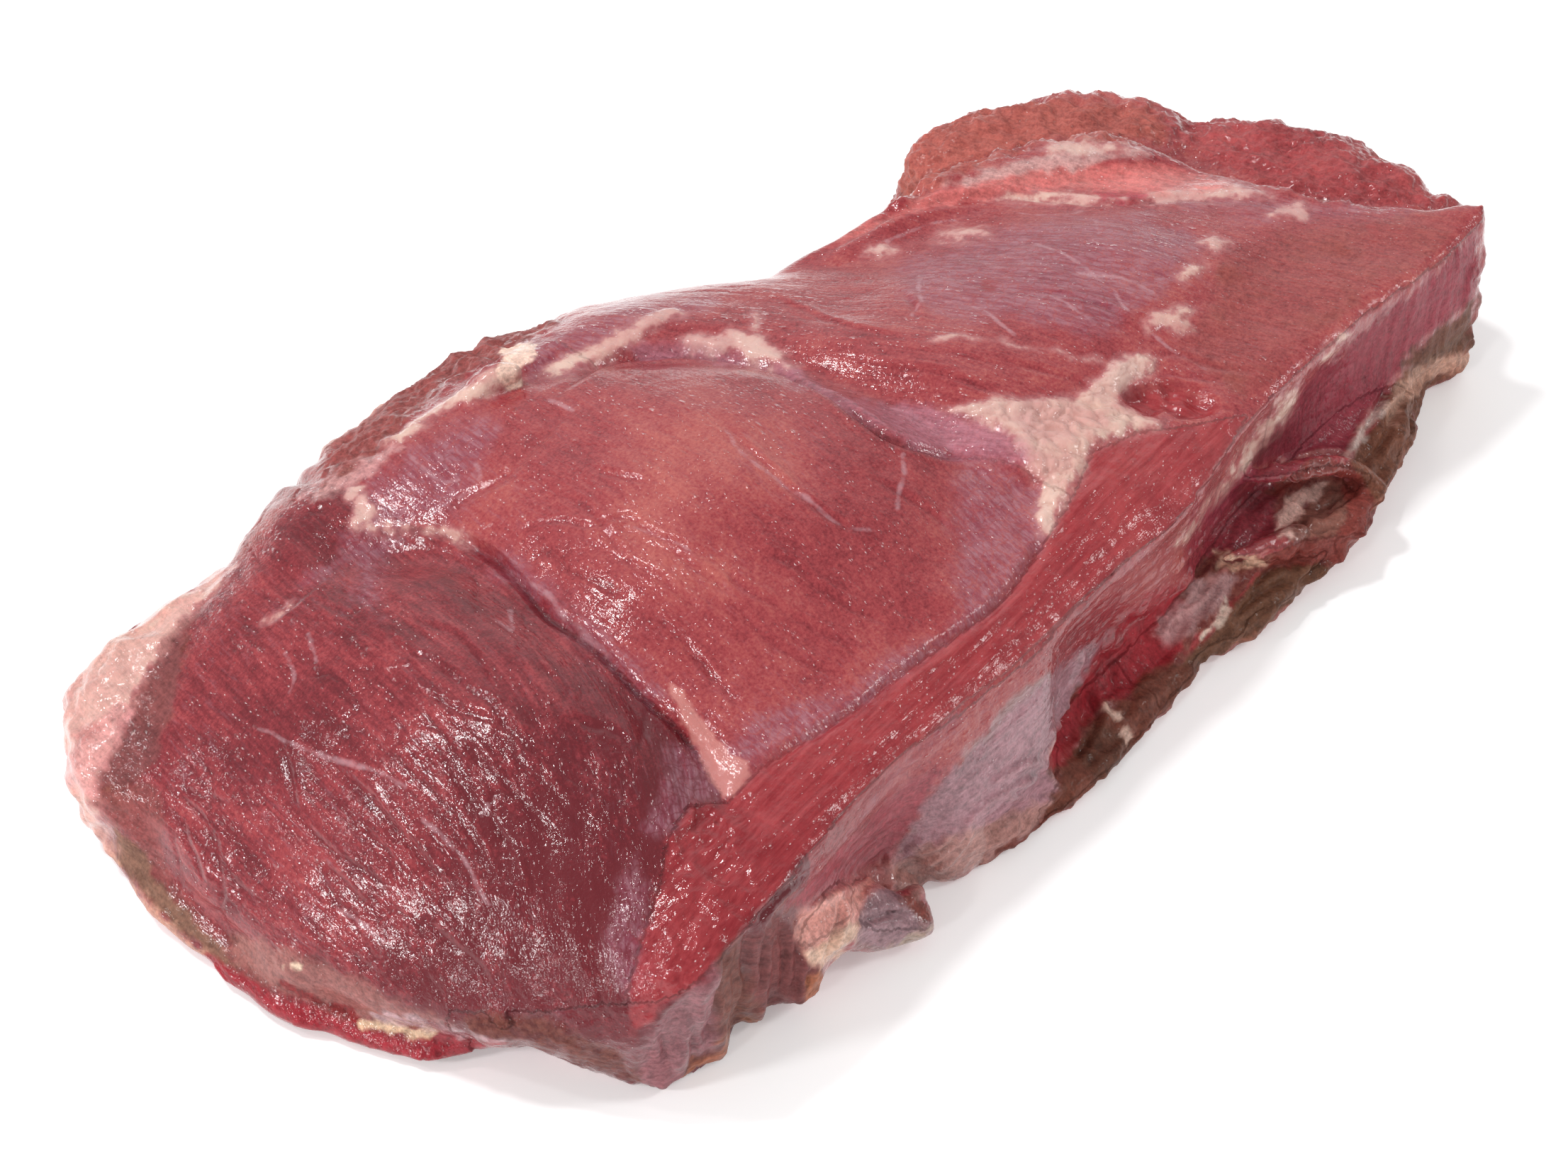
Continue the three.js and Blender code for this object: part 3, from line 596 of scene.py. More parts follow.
# %% Seams and fat on the hidden sides
HIDDEN_SEAMS = {
    "knuckle back": ("back", [(-93, 52), (-90, 42), (-84, 30), (-83, 18), (-88, 6)]),
    "topside back": ("back", [(-46, 60), (-32, 48), (-12, 36), (4, 24), (10, 8)]),
    "long back": ("back", [(-83, 24), (-60, 20), (-35, 22), (0, 18), (35, 20), (66, 16)]),
    "heel back": ("back", [(-150, 30), (-132, 22), (-112, 24), (-92, 18)]),
    "shank below": ("below", [(-160, 30), (-120, 12), (-80, 20), (-30, 8), (20, 12), (70, -6), (120, -4)]),
    "thick below": ("below", [(-84, 70), (-70, 30), (-76, -10), (-60, -60)]),
    "rump below": ("below", [(60, 30), (74, 0), (84, -40), (80, -66)]),
}
HIDDEN_FAT = [  # side, width in mm, line
    ("back", 7.0, [(-78, 44), (-62, 40), (-44, 42)]),
    ("back", 4.0, [(-44, 42), (-24, 36), (-10, 30)]),
    ("back", 5.0, [(-110, 12), (-84, 8), (-60, 10), (-36, 7)]),
    ("back", 3.0, [(12, 16), (30, 12), (52, 12)]),
    ("back", 6.0, [(-128, 40), (-116, 34), (-104, 36)]),
    ("end", 4.0, [(40, 14), (20, 10), (0, 12)]),
    ("end", 3.0, [(-40, 30), (-56, 24)]),
    ("below", 8.0, [(-70, 26), (-40, 14), (-10, 10)]),
    ("below", 5.0, [(-130, 20), (-110, 10)]),
    ("below", 6.0, [(70, -8), (90, -14), (112, -8)]),
]
print(len(HIDDEN_SEAMS), "hidden seams,", len(HIDDEN_FAT), "hidden strips of fat")

# %% [markdown]
# Meat that has hung for a while has a different colour at every few centimetres: a dried facet at
# the heel, an olive strip, a silver sheet, plum hollows under the flaps. Each is a thin coat of
# its own colour, laid over the flesh within an outline. The dried and filmy ones are also matt.

# %% Coats of colour on the photograph
COATS = [  # name, colour (red, green, blue of 255), cover, softness in mm, outline
    ("facet", (126, 72, 72), 0.85, 0.8,
        [(280, 860), (263, 898), (255, 948), (238, 1010), (226, 1052), (205, 1093), (168, 1114), (138, 1114),
         (134, 1106), (155, 1060), (172, 1027), (184, 1002), (193, 968), (213, 939), (230, 906),
         (247, 889)]),
    ("facet foot", (138, 76, 74), 0.75, 1.2,
        [(138, 1114), (168, 1112), (213, 1104), (230, 1130), (232, 1160), (218, 1185), (232, 1218),
         (248, 1250), (213, 1239), (188, 1189), (155, 1160), (134, 1131)]),
    ("heel pink", (220, 146, 146), 0.8, 1.0,
        [(143, 1008), (176, 990), (186, 1004), (168, 1048), (151, 1062), (151, 1080), (134, 1095),
         (134, 1120), (105, 1112), (88, 1106), (96, 1080), (104, 1052), (109, 1046), (126, 1040)]),
    ("heel hole", (160, 58, 62), 0.7, 0.9,
        [(113, 1027), (130, 1016), (146, 1011), (139, 1029), (126, 1040), (113, 1047), (103, 1041)]),
    ("heel shade", (206, 158, 138), 0.6, 1.2,
        [(128, 925), (160, 900), (200, 880), (240, 850), (262, 846), (232, 880), (190, 912), (150, 940),
         (120, 962), (112, 945)]),
    ("olive strip", (128, 98, 82), 0.8, 0.9,
        [(163, 1170), (196, 1198), (215, 1230), (242, 1262), (274, 1298), (305, 1335), (335, 1364),
         (315, 1362), (287, 1339), (251, 1312), (215, 1275), (183, 1240), (160, 1205)]),
    ("under strip", (200, 150, 128), 0.7, 0.7,
        [(155, 1200), (178, 1236), (215, 1275), (251, 1312), (290, 1345), (275, 1350), (235, 1315),
         (190, 1280), (160, 1240)]),
    ("grey bank", (158, 104, 98), 0.75, 1.6,
        [(315, 1344), (333, 1362), (378, 1385), (424, 1407), (460, 1421), (510, 1444), (519, 1435),
         (575, 1440), (640, 1448), (560, 1412), (496, 1375), (433, 1348), (378, 1330), (333, 1318)]),
    ("wet red", (150, 36, 48), 0.85, 0.8,
        [(290, 1348), (315, 1360), (342, 1378), (396, 1410), (437, 1419), (478, 1441), (515, 1450),
         (565, 1464), (596, 1468), (624, 1459), (665, 1466), (700, 1475), (665, 1500), (624, 1520),
         (555, 1520), (505, 1500), (445, 1470), (390, 1445), (330, 1410), (290, 1370)]),
    # painted shade: a near-black red coat laid in the gap by the wet flap
    ("gap", (128, 22, 28), 0.9, 0.5,
        [(396, 1385), (424, 1394), (455, 1412), (492, 1423), (505, 1441), (478, 1427), (446, 1414),
         (415, 1400)]),
    ("cream strip", (232, 192, 158), 0.9, 0.6,
        [(513, 1446), (530, 1441), (560, 1448), (596, 1453), (628, 1453), (605, 1464), (583, 1466),
         (551, 1456)]),
    ("cream spot", (226, 198, 172), 0.9, 0.4,
        [(401, 1353), (424, 1364), (421, 1370), (401, 1363)]),
    ("low film", (190, 158, 162), 0.7, 0.8,
        [(524, 1430), (551, 1425), (583, 1434), (628, 1448), (678, 1462), (710, 1471), (665, 1466),
         (605, 1455), (542, 1444)]),
    ("heel foot", (214, 165, 140), 0.7, 1.2,
        [(88, 1100), (120, 1130), (160, 1195), (155, 1225), (120, 1180), (95, 1145)]),
    ("skirt film", (146, 94, 100), 0.85, 1.2,
        [(905, 1475), (933, 1439), (974, 1398), (1015, 1353), (1019, 1398), (1015, 1444), (1010, 1480),
         (974, 1500), (951, 1532), (928, 1552), (905, 1535)]),
    ("skirt brown", (122, 76, 68), 0.9, 1.6,
        [(1015, 1353), (1046, 1322), (1055, 1353), (1078, 1412), (1046, 1444), (1015, 1495), (1010, 1425)]),
    ("skirt plum", (124, 72, 72), 0.9, 1.2,
        [(1046, 1325), (1096, 1290), (1119, 1312), (1130, 1345), (1155, 1360), (1155, 1409), (1105, 1425),
         (1074, 1430), (1055, 1371)]),
    ("skirt ends", (172, 106, 78), 0.85, 0.8,
        [(1137, 1375), (1158, 1368), (1165, 1400), (1149, 1425), (1130, 1410)]),
    ("skirt hem", (160, 96, 72), 0.85, 0.9,
        [(1017, 1460), (1055, 1430), (1095, 1415), (1090, 1440), (1050, 1470), (1030, 1500), (992, 1505),
         (985, 1525), (960, 1525), (975, 1500), (1000, 1490)]),
    ("pink veil", (204, 134, 130), 0.55, 2.2,
        [(1120, 1290), (1180, 1245), (1250, 1200), (1330, 1170), (1400, 1150), (1380, 1200), (1300, 1250),
         (1240, 1275), (1210, 1300), (1180, 1310), (1140, 1310)]),
    ("pink fat", (226, 156, 144), 0.9, 1.2,
        [(1117, 1316), (1130, 1283), (1178, 1260), (1221, 1254), (1214, 1294), (1205, 1321), (1178, 1348),
         (1160, 1360), (1133, 1348)]),
    ("pale foot", (224, 186, 160), 0.8, 1.0,
        [(1130, 1340), (1155, 1338), (1172, 1324), (1196, 1302), (1212, 1300), (1207, 1323), (1180, 1350),
         (1160, 1362), (1138, 1352)]),
    ("knob film", (158, 124, 130), 0.9, 0.8,
        [(1219, 1268), (1260, 1258), (1275, 1272), (1292, 1289), (1301, 1307), (1269, 1335), (1242, 1335),
         (1210, 1325)]),
    ("knob foot", (176, 152, 134), 0.85, 0.7,
        [(1250, 1340), (1285, 1318), (1318, 1303), (1306, 1335), (1278, 1345)]),
    ("knob tip", (128, 62, 52), 0.95, 0.6,
        [(1262, 1268), (1292, 1268), (1318, 1289), (1314, 1305), (1296, 1300), (1283, 1282)]),
    ("wall fibre", (156, 72, 82), 0.85, 1.4,
        [(1105, 1280), (1178, 1203), (1269, 1116), (1319, 1080), (1342, 1082), (1315, 1116), (1296, 1153),
         (1260, 1207), (1196, 1239), (1133, 1275)]),
    ("silver sheet", (160, 116, 124), 0.9, 1.0,
        [(1319, 1107), (1360, 1075), (1410, 1020), (1465, 965), (1530, 915), (1575, 890), (1530, 950),
         (1500, 1000), (1485, 1040), (1474, 1085), (1492, 1121), (1469, 1150), (1424, 1160), (1369, 1180),
         (1330, 1200), (1290, 1220), (1262, 1215), (1292, 1160)]),
    ("sheet foot", (170, 122, 114), 0.9, 1.4,
        [(1251, 1230), (1290, 1200), (1369, 1170), (1424, 1155), (1484, 1125), (1488, 1142), (1469, 1162),
         (1424, 1194), (1369, 1232), (1315, 1262), (1269, 1268)]),
    ("under edge", (112, 58, 50), 0.95, 0.5,
        [(1515, 1107), (1542, 1080), (1575, 1098), (1550, 1140), (1496, 1170), (1451, 1200), (1396, 1230),
         (1330, 1270), (1300, 1275), (1315, 1262), (1369, 1232), (1424, 1194), (1469, 1162), (1490, 1135)]),
    ("plum hollow", (150, 46, 54), 0.85, 1.0,
        [(1580, 880), (1616, 833), (1675, 818), (1662, 851), (1625, 896), (1662, 905), (1675, 915),
         (1616, 946), (1594, 983), (1562, 983), (1521, 1015), (1500, 1060), (1482, 1090), (1490, 1030),
         (1521, 978), (1545, 924), (1562, 900)]),
    ("plum wall", (142, 52, 64), 0.85, 1.2,
        [(1798, 646), (1871, 655), (1844, 674), (1798, 701), (1800, 728), (1798, 760), (1753, 774),
         (1712, 783), (1675, 818), (1665, 790), (1680, 755), (1721, 710), (1762, 674)]),
    ("web sheet", (182, 142, 142), 0.7, 1.2,
        [(1675, 824), (1725, 815), (1748, 810), (1735, 833), (1707, 869), (1680, 896), (1644, 905),
         (1625, 896), (1662, 851)]),
    ("red strip", (158, 62, 64), 0.85, 0.6,
        [(1775, 805), (1753, 833), (1735, 851), (1707, 878), (1680, 905), (1670, 925), (1692, 915),
         (1725, 878), (1753, 842), (1785, 812)]),
    ("brown sheet", (106, 72, 56), 0.95, 0.8,
        [(1785, 805), (1825, 790), (1866, 790), (1885, 800), (1870, 850), (1820, 900), (1770, 930),
         (1720, 960), (1690, 985), (1648, 990), (1650, 960), (1680, 925), (1707, 900), (1735, 862),
         (1757, 835)]),
    ("sheet hem", (152, 98, 82), 0.8, 1.0,
        [(1866, 820), (1885, 815), (1850, 880), (1790, 925), (1720, 965), (1690, 990), (1690, 955),
         (1753, 905), (1820, 860)]),
    ("cream rim", (220, 196, 180), 0.9, 0.4,
        [(1730, 848), (1738, 860), (1710, 890), (1698, 898), (1696, 888), (1721, 867)]),
    ("brown knots", (112, 66, 54), 0.9, 1.0,
        [(1616, 946), (1653, 937), (1690, 937), (1680, 990), (1640, 1030), (1612, 1060), (1594, 1090),
         (1560, 1120), (1530, 1140), (1480, 1150), (1498, 1083), (1525, 1042), (1553, 1005), (1594, 983)]),
    ("dark knot", (96, 62, 50), 0.8, 1.2,
        [(1518, 1055), (1545, 1025), (1580, 1030), (1600, 1048), (1585, 1080), (1548, 1100), (1528, 1080)]),
    ("pale shreds", (212, 176, 160), 0.9, 0.4,
        [(1555, 988), (1575, 1006), (1594, 1026), (1602, 1042), (1589, 1048), (1581, 1021), (1562, 1006)]),
    ("loop inside", (128, 84, 74), 0.95, 0.7,
        [(1880, 672), (1900, 694), (1905, 728), (1891, 757), (1857, 757), (1816, 762), (1825, 733),
         (1844, 705), (1866, 681)]),
    ("loop fat", (222, 180, 168), 0.9, 0.6,
        [(1819, 699), (1844, 690), (1875, 672), (1882, 667), (1846, 710), (1827, 733), (1817, 757),
         (1804, 757), (1799, 728)]),
    ("loop end", (230, 184, 158), 0.9, 0.7,
        [(1714, 776), (1745, 782), (1787, 785), (1787, 800), (1740, 808), (1719, 805)]),
    ("upper flap", (116, 74, 58), 0.95, 0.9,
        [(1985, 520), (2060, 470), (2085, 500), (2075, 560), (2040, 620), (2000, 690), (1957, 730),
         (1935, 718), (1916, 678), (1898, 655), (1905, 646), (1930, 610), (1953, 560)]),
    ("flap hem", (156, 100, 84), 0.75, 1.0,
        [(2060, 480), (2085, 500), (2070, 560), (2035, 640), (1990, 700), (1957, 730), (1940, 712),
         (1975, 665), (2010, 590), (2030, 530)]),
    ("flap silver", (206, 182, 172), 0.85, 0.6,
        [(1957, 560), (1953, 587), (1928, 612), (1905, 648), (1889, 652), (1903, 628), (1912, 612),
         (1940, 575)]),
    ("band red", (208, 112, 108), 0.75, 1.2,
        [(1150, 348), (1253, 300), (1354, 256), (1469, 232), (1577, 226), (1650, 232), (1715, 252),
         (1740, 266), (1692, 275), (1640, 275), (1560, 270), (1510, 268), (1429, 272), (1354, 284),
         (1273, 307), (1199, 334)]),
    ("band film", (205, 170, 165), 0.6, 0.9,
        [(1334, 262), (1380, 242), (1438, 228), (1497, 220), (1555, 215), (1618, 219), (1555, 228),
         (1522, 236), (1472, 243), (1413, 249), (1363, 262)]),
    ("band wedge", (176, 58, 74), 0.8, 0.6,
        [(1545, 271), (1597, 275), (1616, 280), (1580, 287), (1553, 284)]),
    ("lobe leather", (166, 92, 82), 0.75, 2.0,
        [(1275, 215), (1290, 190), (1340, 165), (1420, 145), (1560, 140), (1620, 150), (1650, 175),
         (1640, 200), (1560, 195), (1480, 200), (1400, 225), (1340, 250), (1280, 280), (1265, 260)]),
    ("lobe red", (154, 66, 68), 0.7, 2.0,
        [(1650, 180), (1690, 170), (1800, 172), (1900, 200), (1990, 250), (2060, 290), (1960, 288),
         (1860, 280), (1780, 262), (1700, 225)]),
    ("back leather", (146, 76, 74), 0.85, 1.2,
        [(300, 800), (330, 740), (380, 680), (430, 615), (490, 560), (545, 515), (622, 465), (705, 436),
         (793, 430), (775, 462), (736, 478), (691, 510), (615, 557), (560, 600), (520, 640), (470, 680),
         (430, 690), (380, 740), (340, 785)]),
    # painted sheen: a pale streak of reflection painted on the wet back strip
    ("painted back sheen", (208, 158, 156), 0.6, 1.0,
        [(555, 622), (540, 632), (480, 672), (440, 690), (425, 705), (450, 706), (500, 680), (545, 652),
         (565, 632)]),
    ("fat curl", (236, 198, 180), 0.95, 0.5,
        [(700, 524), (710, 500), (728, 486), (752, 485), (756, 500), (742, 516), (732, 524), (736, 545),
         (718, 548), (706, 538)]),
    ("end wall", (138, 52, 66), 0.85, 1.2,
        [(2088, 318), (2080, 425), (2060, 440), (2020, 470), (1985, 505), (1960, 545), (1925, 590),
         (1895, 640), (1800, 650), (1750, 690), (1700, 745), (1690, 735), (1768, 640), (1807, 590),
         (1850, 530), (1910, 480), (1975, 420), (2033, 380)]),
    ("end brown", (104, 72, 58), 0.9, 1.2,
        [(2084, 418), (2080, 455), (2072, 492), (2030, 508), (1990, 525), (1982, 510), (2010, 482),
         (2040, 455), (2062, 436)]),
    ("end fringe", (212, 166, 146), 0.65, 0.9,
        [(1950, 575), (1975, 540), (2000, 518), (2040, 503), (2088, 492), (2086, 508), (2040, 524),
         (2008, 545), (1985, 565), (1960, 600)]),
    ("loop", (126, 60, 54), 0.9, 0.5,
        [(1785, 694), (1804, 678), (1835, 660), (1865, 648), (1902, 653), (1928, 678), (1941, 710),
         (1934, 747), (1915, 776), (1888, 793), (1850, 797), (1800, 800), (1785, 803), (1785, 786),
         (1812, 767), (1850, 767), (1884, 758), (1897, 735), (1902, 705), (1892, 678), (1875, 669),
         (1845, 681), (1815, 697)]),
    ("seam film", (176, 112, 126), 0.55, 1.5, PATCHES["seam mauve"]),
    ("heel skin", (204, 144, 138), 0.6, 2.0, PATCHES["heel fat"]),
    ("rump warm", (146, 70, 68), 0.55, 3.0, PATCHES["rump brown"]),
]
MATT_COATS = {  # how far each dried or filmy place has lost its wet shine
    "facet": 0.7, "facet foot": 0.6, "olive strip": 1.2, "under strip": 0.8, "grey bank": 0.6,
    "skirt film": 0.5, "skirt brown": 0.8, "skirt plum": 0.8, "skirt hem": 0.7, "wall fibre": 0.5,
    "silver sheet": 0.3, "brown sheet": 0.7, "sheet hem": 0.6, "brown knots": 0.6, "upper flap": 0.7,
    "flap hem": 0.6, "end wall": 0.8, "end brown": 0.9, "lobe leather": 0.9, "lobe red": 0.7,
    "back leather": 0.3, "knob film": 0.4, "rump warm": 0.5,
}
print(len(COATS), "coats,", len(MATT_COATS), "of them matt")

# %% Find the marks on the skin
PIXELS_PER_MM = 5.8
REACH = 8.0  # mm around a mark that anything is worked out for
GRAZING = -0.05  # how far a face may lean away and still be tested for being seen
CLEAR = 0.4 * MM  # how far outside the skin a ray to the camera starts
FAR = 1e9
TRACE_STEP = 1.5 * MM
VIEWS = {  # where a ray from that side starts, in mm, and which way it goes
    "back": ((0, 300, 0), (0, -1, 0)),
    "end": ((300, 0, 0), (-1, 0, 0)),
    "below": ((0, 0, -300), (0, 0, 1)),
}


def seen_by_camera(tree, points, outward):
    seen = np.zeros(len(points), bool)
    for index in np.nonzero((outward @ np.array(towards_camera)) > GRAZING)[0]:
        start = Vector(points[index]) + CLEAR * Vector(outward[index])
        seen[index] = tree.ray_cast(start, camera.location - start)[0] is None
    return seen


def inside_outline(pixels, corners):
    """How deep each point lies inside an outline, in mm, and how far outside below zero."""
    corners = np.array(corners, float)
    nearest = np.full(len(pixels), FAR)
    inside = np.zeros(len(pixels), bool)
    for a, b in zip(corners, np.roll(corners, -1, axis=0)):
        edge = b - a
        along = np.clip((pixels - a) @ edge / max(edge @ edge, 1e-9), 0, 1)
        nearest = np.minimum(nearest, np.linalg.norm(pixels - a - along[:, None] * edge, axis=1))
        crosses = (a[1] > pixels[:, 1]) != (b[1] > pixels[:, 1])
        meets = a[0] + (pixels[:, 1] - a[1]) * edge[0] / (edge[1] if edge[1] else 1e-9)
        inside ^= crosses & (pixels[:, 0] < meets)
    return np.clip(np.where(inside, nearest, -nearest) / PIXELS_PER_MM, -REACH, REACH)


def traced_line(tree, points, view):
    """A line laid on the skin from outside, from the two coordinates in mm that the side shows."""
    start, towards = VIEWS[view]
    free = [index for index in range(3) if not towards[index]]
    hits = []
    for a, b in points:
        place = list(start)
        place[free[0]], place[free[1]] = a, b
        hit = tree.ray_cast(Vector(place) * MM, Vector(towards))[0]
        if hit is not None:
            hits.append(hit)
    return smooth_line(np.array(hits), TRACE_STEP)


def drawn_lines(tree, lines):
    return [drawn_line(tree, line) for line in lines]


tree = surface(flesh)
seam_lines = {name: drawn_line(tree, pixels) for name, pixels in SEAMS.items()}
crease_lines = {name: drawn_lines(tree, lines) for name, lines in CREASES.items()}
cord_lines, fold_lines, web_lines = (drawn_lines(tree, lines) for lines in (CORDS, FOLDS, WEB))
fat_lines = [(drawn_line(tree, line), width) for line, width in FAT_LINES]
fat_lines += [(line, SHRED_WIDTH) for line in drawn_lines(tree, PALE)]
film_lines = [(drawn_line(tree, line), width) for line, width in FILM_LINES]
seam_lines |= {name: traced_line(tree, points, view) for name, (view, points) in HIDDEN_SEAMS.items()}
fat_lines += [(traced_line(tree, points, view), width) for view, width, points in HIDDEN_FAT]
print("longest seam:", round(1000 * np.ptp(seam_lines["topside cut"][:, 0])), "mm")

# %% [markdown]
# Millimetre-fine cells all over the roast would be a very heavy mesh. The cells are halved where
# the photograph shows the meat, and the underside, which lies flat on the counter, is made coarser.

# %% Finer cells where the meat shows
def refine(piece, vertex_mask):
    """Halve the cells around the marked vertices."""
    corners, starts = corners_of_faces(piece.data)
    select_faces(piece, np.add.reduceat(vertex_mask[corners].astype(int), starts) > 0)
    bpy.ops.mesh.subdivide(number_cuts=1, smoothness=0.0, ngon=False)
    bpy.ops.object.mode_set(mode="OBJECT")


def triangles(piece):
    return sum(len(face.vertices) - 2 for face in piece.data.polygons)


at = places(flesh)
lying = (at[:, 2] < 2 * MM) & (normals(flesh)[:, 2] < -0.9)
coarse = flesh.vertex_groups.new(name="coarse")
coarse.add(np.nonzero(lying)[0].tolist(), 1.0, "REPLACE")
apply_modifier(flesh, "DECIMATE", ratio=0.79, vertex_group="coarse")
flesh.vertex_groups.clear()
print("underside made coarser:", len(flesh.data.vertices), "vertices left")
at = places(flesh)
refine(flesh, seen_by_camera(surface(flesh), at, normals(flesh)) & (at[:, 2] > 0.5 * MM))
print("after refining:", len(flesh.data.vertices), "vertices,", triangles(flesh), "triangles")


# %% Noise and soft steps over many points at once
def bumps(points, size, seed=0.0):
    """Smooth noise from -1 to 1 with humps about `size` mm apart, one value for each point."""
    scaled = points * (1000 / size) + seed
    return 1.6 * np.array([noise.noise(p) for p in scaled.tolist()])


def creased(points, size, seed):
    """Noise folded over at zero, which leaves narrow ridges between broad hollows."""
    return 0.4 - np.abs(bumps(points, size, seed))


def smoothstep(values, low, high):
    t = np.clip((values - low) / (high - low), 0, 1)
    return t * t * (3 - 2 * t)


# %% Which muscle each point belongs to
at, outward = places(flesh), normals(flesh)
seen = seen_by_camera(surface(flesh), at, outward)
pixels, _ = pixels_of(at)


def depth_within(corners):
    """Depth inside an outline for what the camera sees, and far outside for the rest."""
    return np.where(seen, inside_outline(pixels, corners), -REACH)


def deepest(names):
    """Depth inside whichever of the named patches a point lies deepest in."""
    return np.max([depth_in[name] for name in names], axis=0)


depth_in = {name: depth_within(corners) for name, corners in PATCHES.items()}
x, y, z = (1000 * at).T


def beyond(seam):
    """How far each point lies to the right of a seam, in mm along x."""
    line = seam_lines[seam]
    order = np.argsort(line[:, 1])
    return x - np.interp(y, 1000 * line[order, 1], 1000 * line[order, 0])


knuckle = beyond("knuckle") < 0
rump = (beyond("topside far") > 0) & ~knuckle
cut = depth_in["cut band"]
on_wall = (outward[:, 2] < 0.45) & (y < -30)
print("seen:", int(seen.sum()), "knuckle:", int(knuckle.sum()), "rump:", int(rump.sum()),
      "wall:", int(on_wall.sum()))

# %% Which way the fibres run
grain = np.empty((len(at), 3))
zones = (  # where, how far along the fibres a point lies, and how far across them
    (np.ones(len(at), bool), -0.2 * x - 0.98 * y, 0.98 * x - 0.2 * y),
    (rump, 0.4 * x - 0.92 * y, 0.92 * x + 0.4 * y),
    (knuckle, -y, x - 0.25 * y + 0.006 * np.minimum(y - 5, 0) ** 2),
    (cut > 0, x, y),
    (on_wall, x + 0.3 * z, z),
    (on_wall & (x > 70), z + 0.25 * x, x),
)
for chosen, along, across in zones:
    grain[chosen, 0] = along[chosen]
    grain[chosen, 1] = across[chosen]
grain[:, 2] = z
grain[on_wall, 2] = y[on_wall]
print(len(zones), "directions of grain")

# %% [markdown]
# The relief comes next. All of it is worked out on the smooth skin and then pressed in at once:
# first the seams and creases, which are grooves with soft lips.

# %% Seams and creases pressed in
relief = np.zeros(len(at))
# painted_cleft_shade: painted shade, how far the colour is darkened down in each seam, crease, split and fold
painted_cleft_shade = np.zeros(len(at))
wander = 0.9 * MM * np.stack([bumps(at, 7, seed) for seed in (11.3, 47.1, 83.9)], axis=1)
SEAM_PRESS = {  # depth and half width in mm
    "knuckle": (2.0, 1.3), "topside far": (1.5, 1.5), "topside cut": (0.9, 1.3),
    "topside left": (0.6, 1.5), "rump band": (1.0, 1.4),
}
HIDDEN_PRESS = (1.6, 2.0)
CREASE_DEPTHS = {"topside": 0.5, "knuckle": 0.42, "rump": 0.4}


def press(line, depth, half_width, lip=0.3, fold=0.0):
    """A groove along a line, with small lips, one side standing higher, fading at its ends."""
    distance, along = nearest_on(line, at + 0.4 * wander, REACH * MM)
    distance = 1000 * distance
    ends = np.minimum(1, 5 * np.minimum(along, 1 - along) + 0.1)
    groove = np.exp(-((distance / half_width) ** 2)) * ends
    ridge = np.exp(-(((distance - 2.1 * half_width) / half_width) ** 2)) * ends
    start = line[np.round(along * (len(line) - 1)).astype(int)]
    side = np.tanh((at - start) @ np.array(picture_right) * 1000 / half_width)
    step_up = fold * side * np.exp(-((distance / 3.2) ** 2)) * ends
    return depth * (lip * ridge - groove) + step_up, groove


for name, line in seam_lines.items():
    depth, half_width = SEAM_PRESS.get(name, HIDDEN_PRESS)
    shape, groove = press(line, depth, half_width)
    relief += shape
    painted_cleft_shade = np.maximum(painted_cleft_shade, groove * depth / 2.6)
for name, depth in CREASE_DEPTHS.items():
    for line in crease_lines[name]:
        shape, groove = press(line, depth, 0.75, fold=0.3)
        relief += shape
        painted_cleft_shade = np.maximum(painted_cleft_shade, 0.5 * groove)
print("deepest seam:", round(relief.min(), 1), "mm")

# %% [markdown]
# Muscle is bundles of fibres, so noise that is drawn out along the grain gives it long ridges,
# with a few splits where the bundles part. They are strongest on the knuckle.


# %% Fibres
def along_fibres(length, width):
    """Points of the grain drawn together, so that noise over them gives long narrow ridges."""
    return grain * (MM / np.array([length, width, width]))


fibrous = np.where(knuckle, 1.0, np.where(rump, 0.45, 0.35))
patchy = smoothstep(bumps(at, 26, 19.0), -0.5, 0.6)
ridges = 0.34 * bumps(along_fibres(34, 6.5), 1.0, 3.0)
ridges += 0.12 * bumps(along_fibres(16, 2.6), 1.0, 13.0) * patchy
relief += fibrous * ridges + 0.45 * bumps(at, 17, 5.0) + 0.08 * bumps(at, 4.5, 9.0)
split = smoothstep(0.10 - np.abs(bumps(along_fibres(22, 7.5), 1.0, 33.0)), 0, 0.10)
split *= smoothstep(bumps(along_fibres(30, 12), 1.0, 37.0), 0.0, 0.35) * np.where(knuckle, 1.0, 0.4)
relief -= 0.40 * split
painted_cleft_shade = np.maximum(painted_cleft_shade, 0.35 * split)
print("split fibres on", int((split > 0.5).sum()), "vertices")

# %% [markdown]
# Fat is soft lumps packed side by side. They stand out in the bed where the seams meet, and are
# nearly smooth round the heel.


# %% Fat
def strips(lines, wandering=1.0):
    """How deep each point lies within the nearest of some lines, each with a width in mm."""
    within = np.full(len(at), -REACH)
    for line, width in lines:
        distance, _ = nearest_on(line, at + wandering * wander, REACH * MM)
        within = np.maximum(within, width / 2 - 1000 * distance)
    return within


def lumps_of(points, size, seed):
    """Rounded lumps side by side: how high each point stands and how near it is to a gap."""
    heights = np.zeros(len(points))
    gaps = np.zeros(len(points))
    for index, point in enumerate((points * (1000 / size) + seed).tolist()):
        near = noise.voronoi(point)[0]
        heights[index] = 1 - min(1, near[0])
        gaps[index] = 1 - min(1, 4 * (near[1] - near[0]))
    return heights, gaps


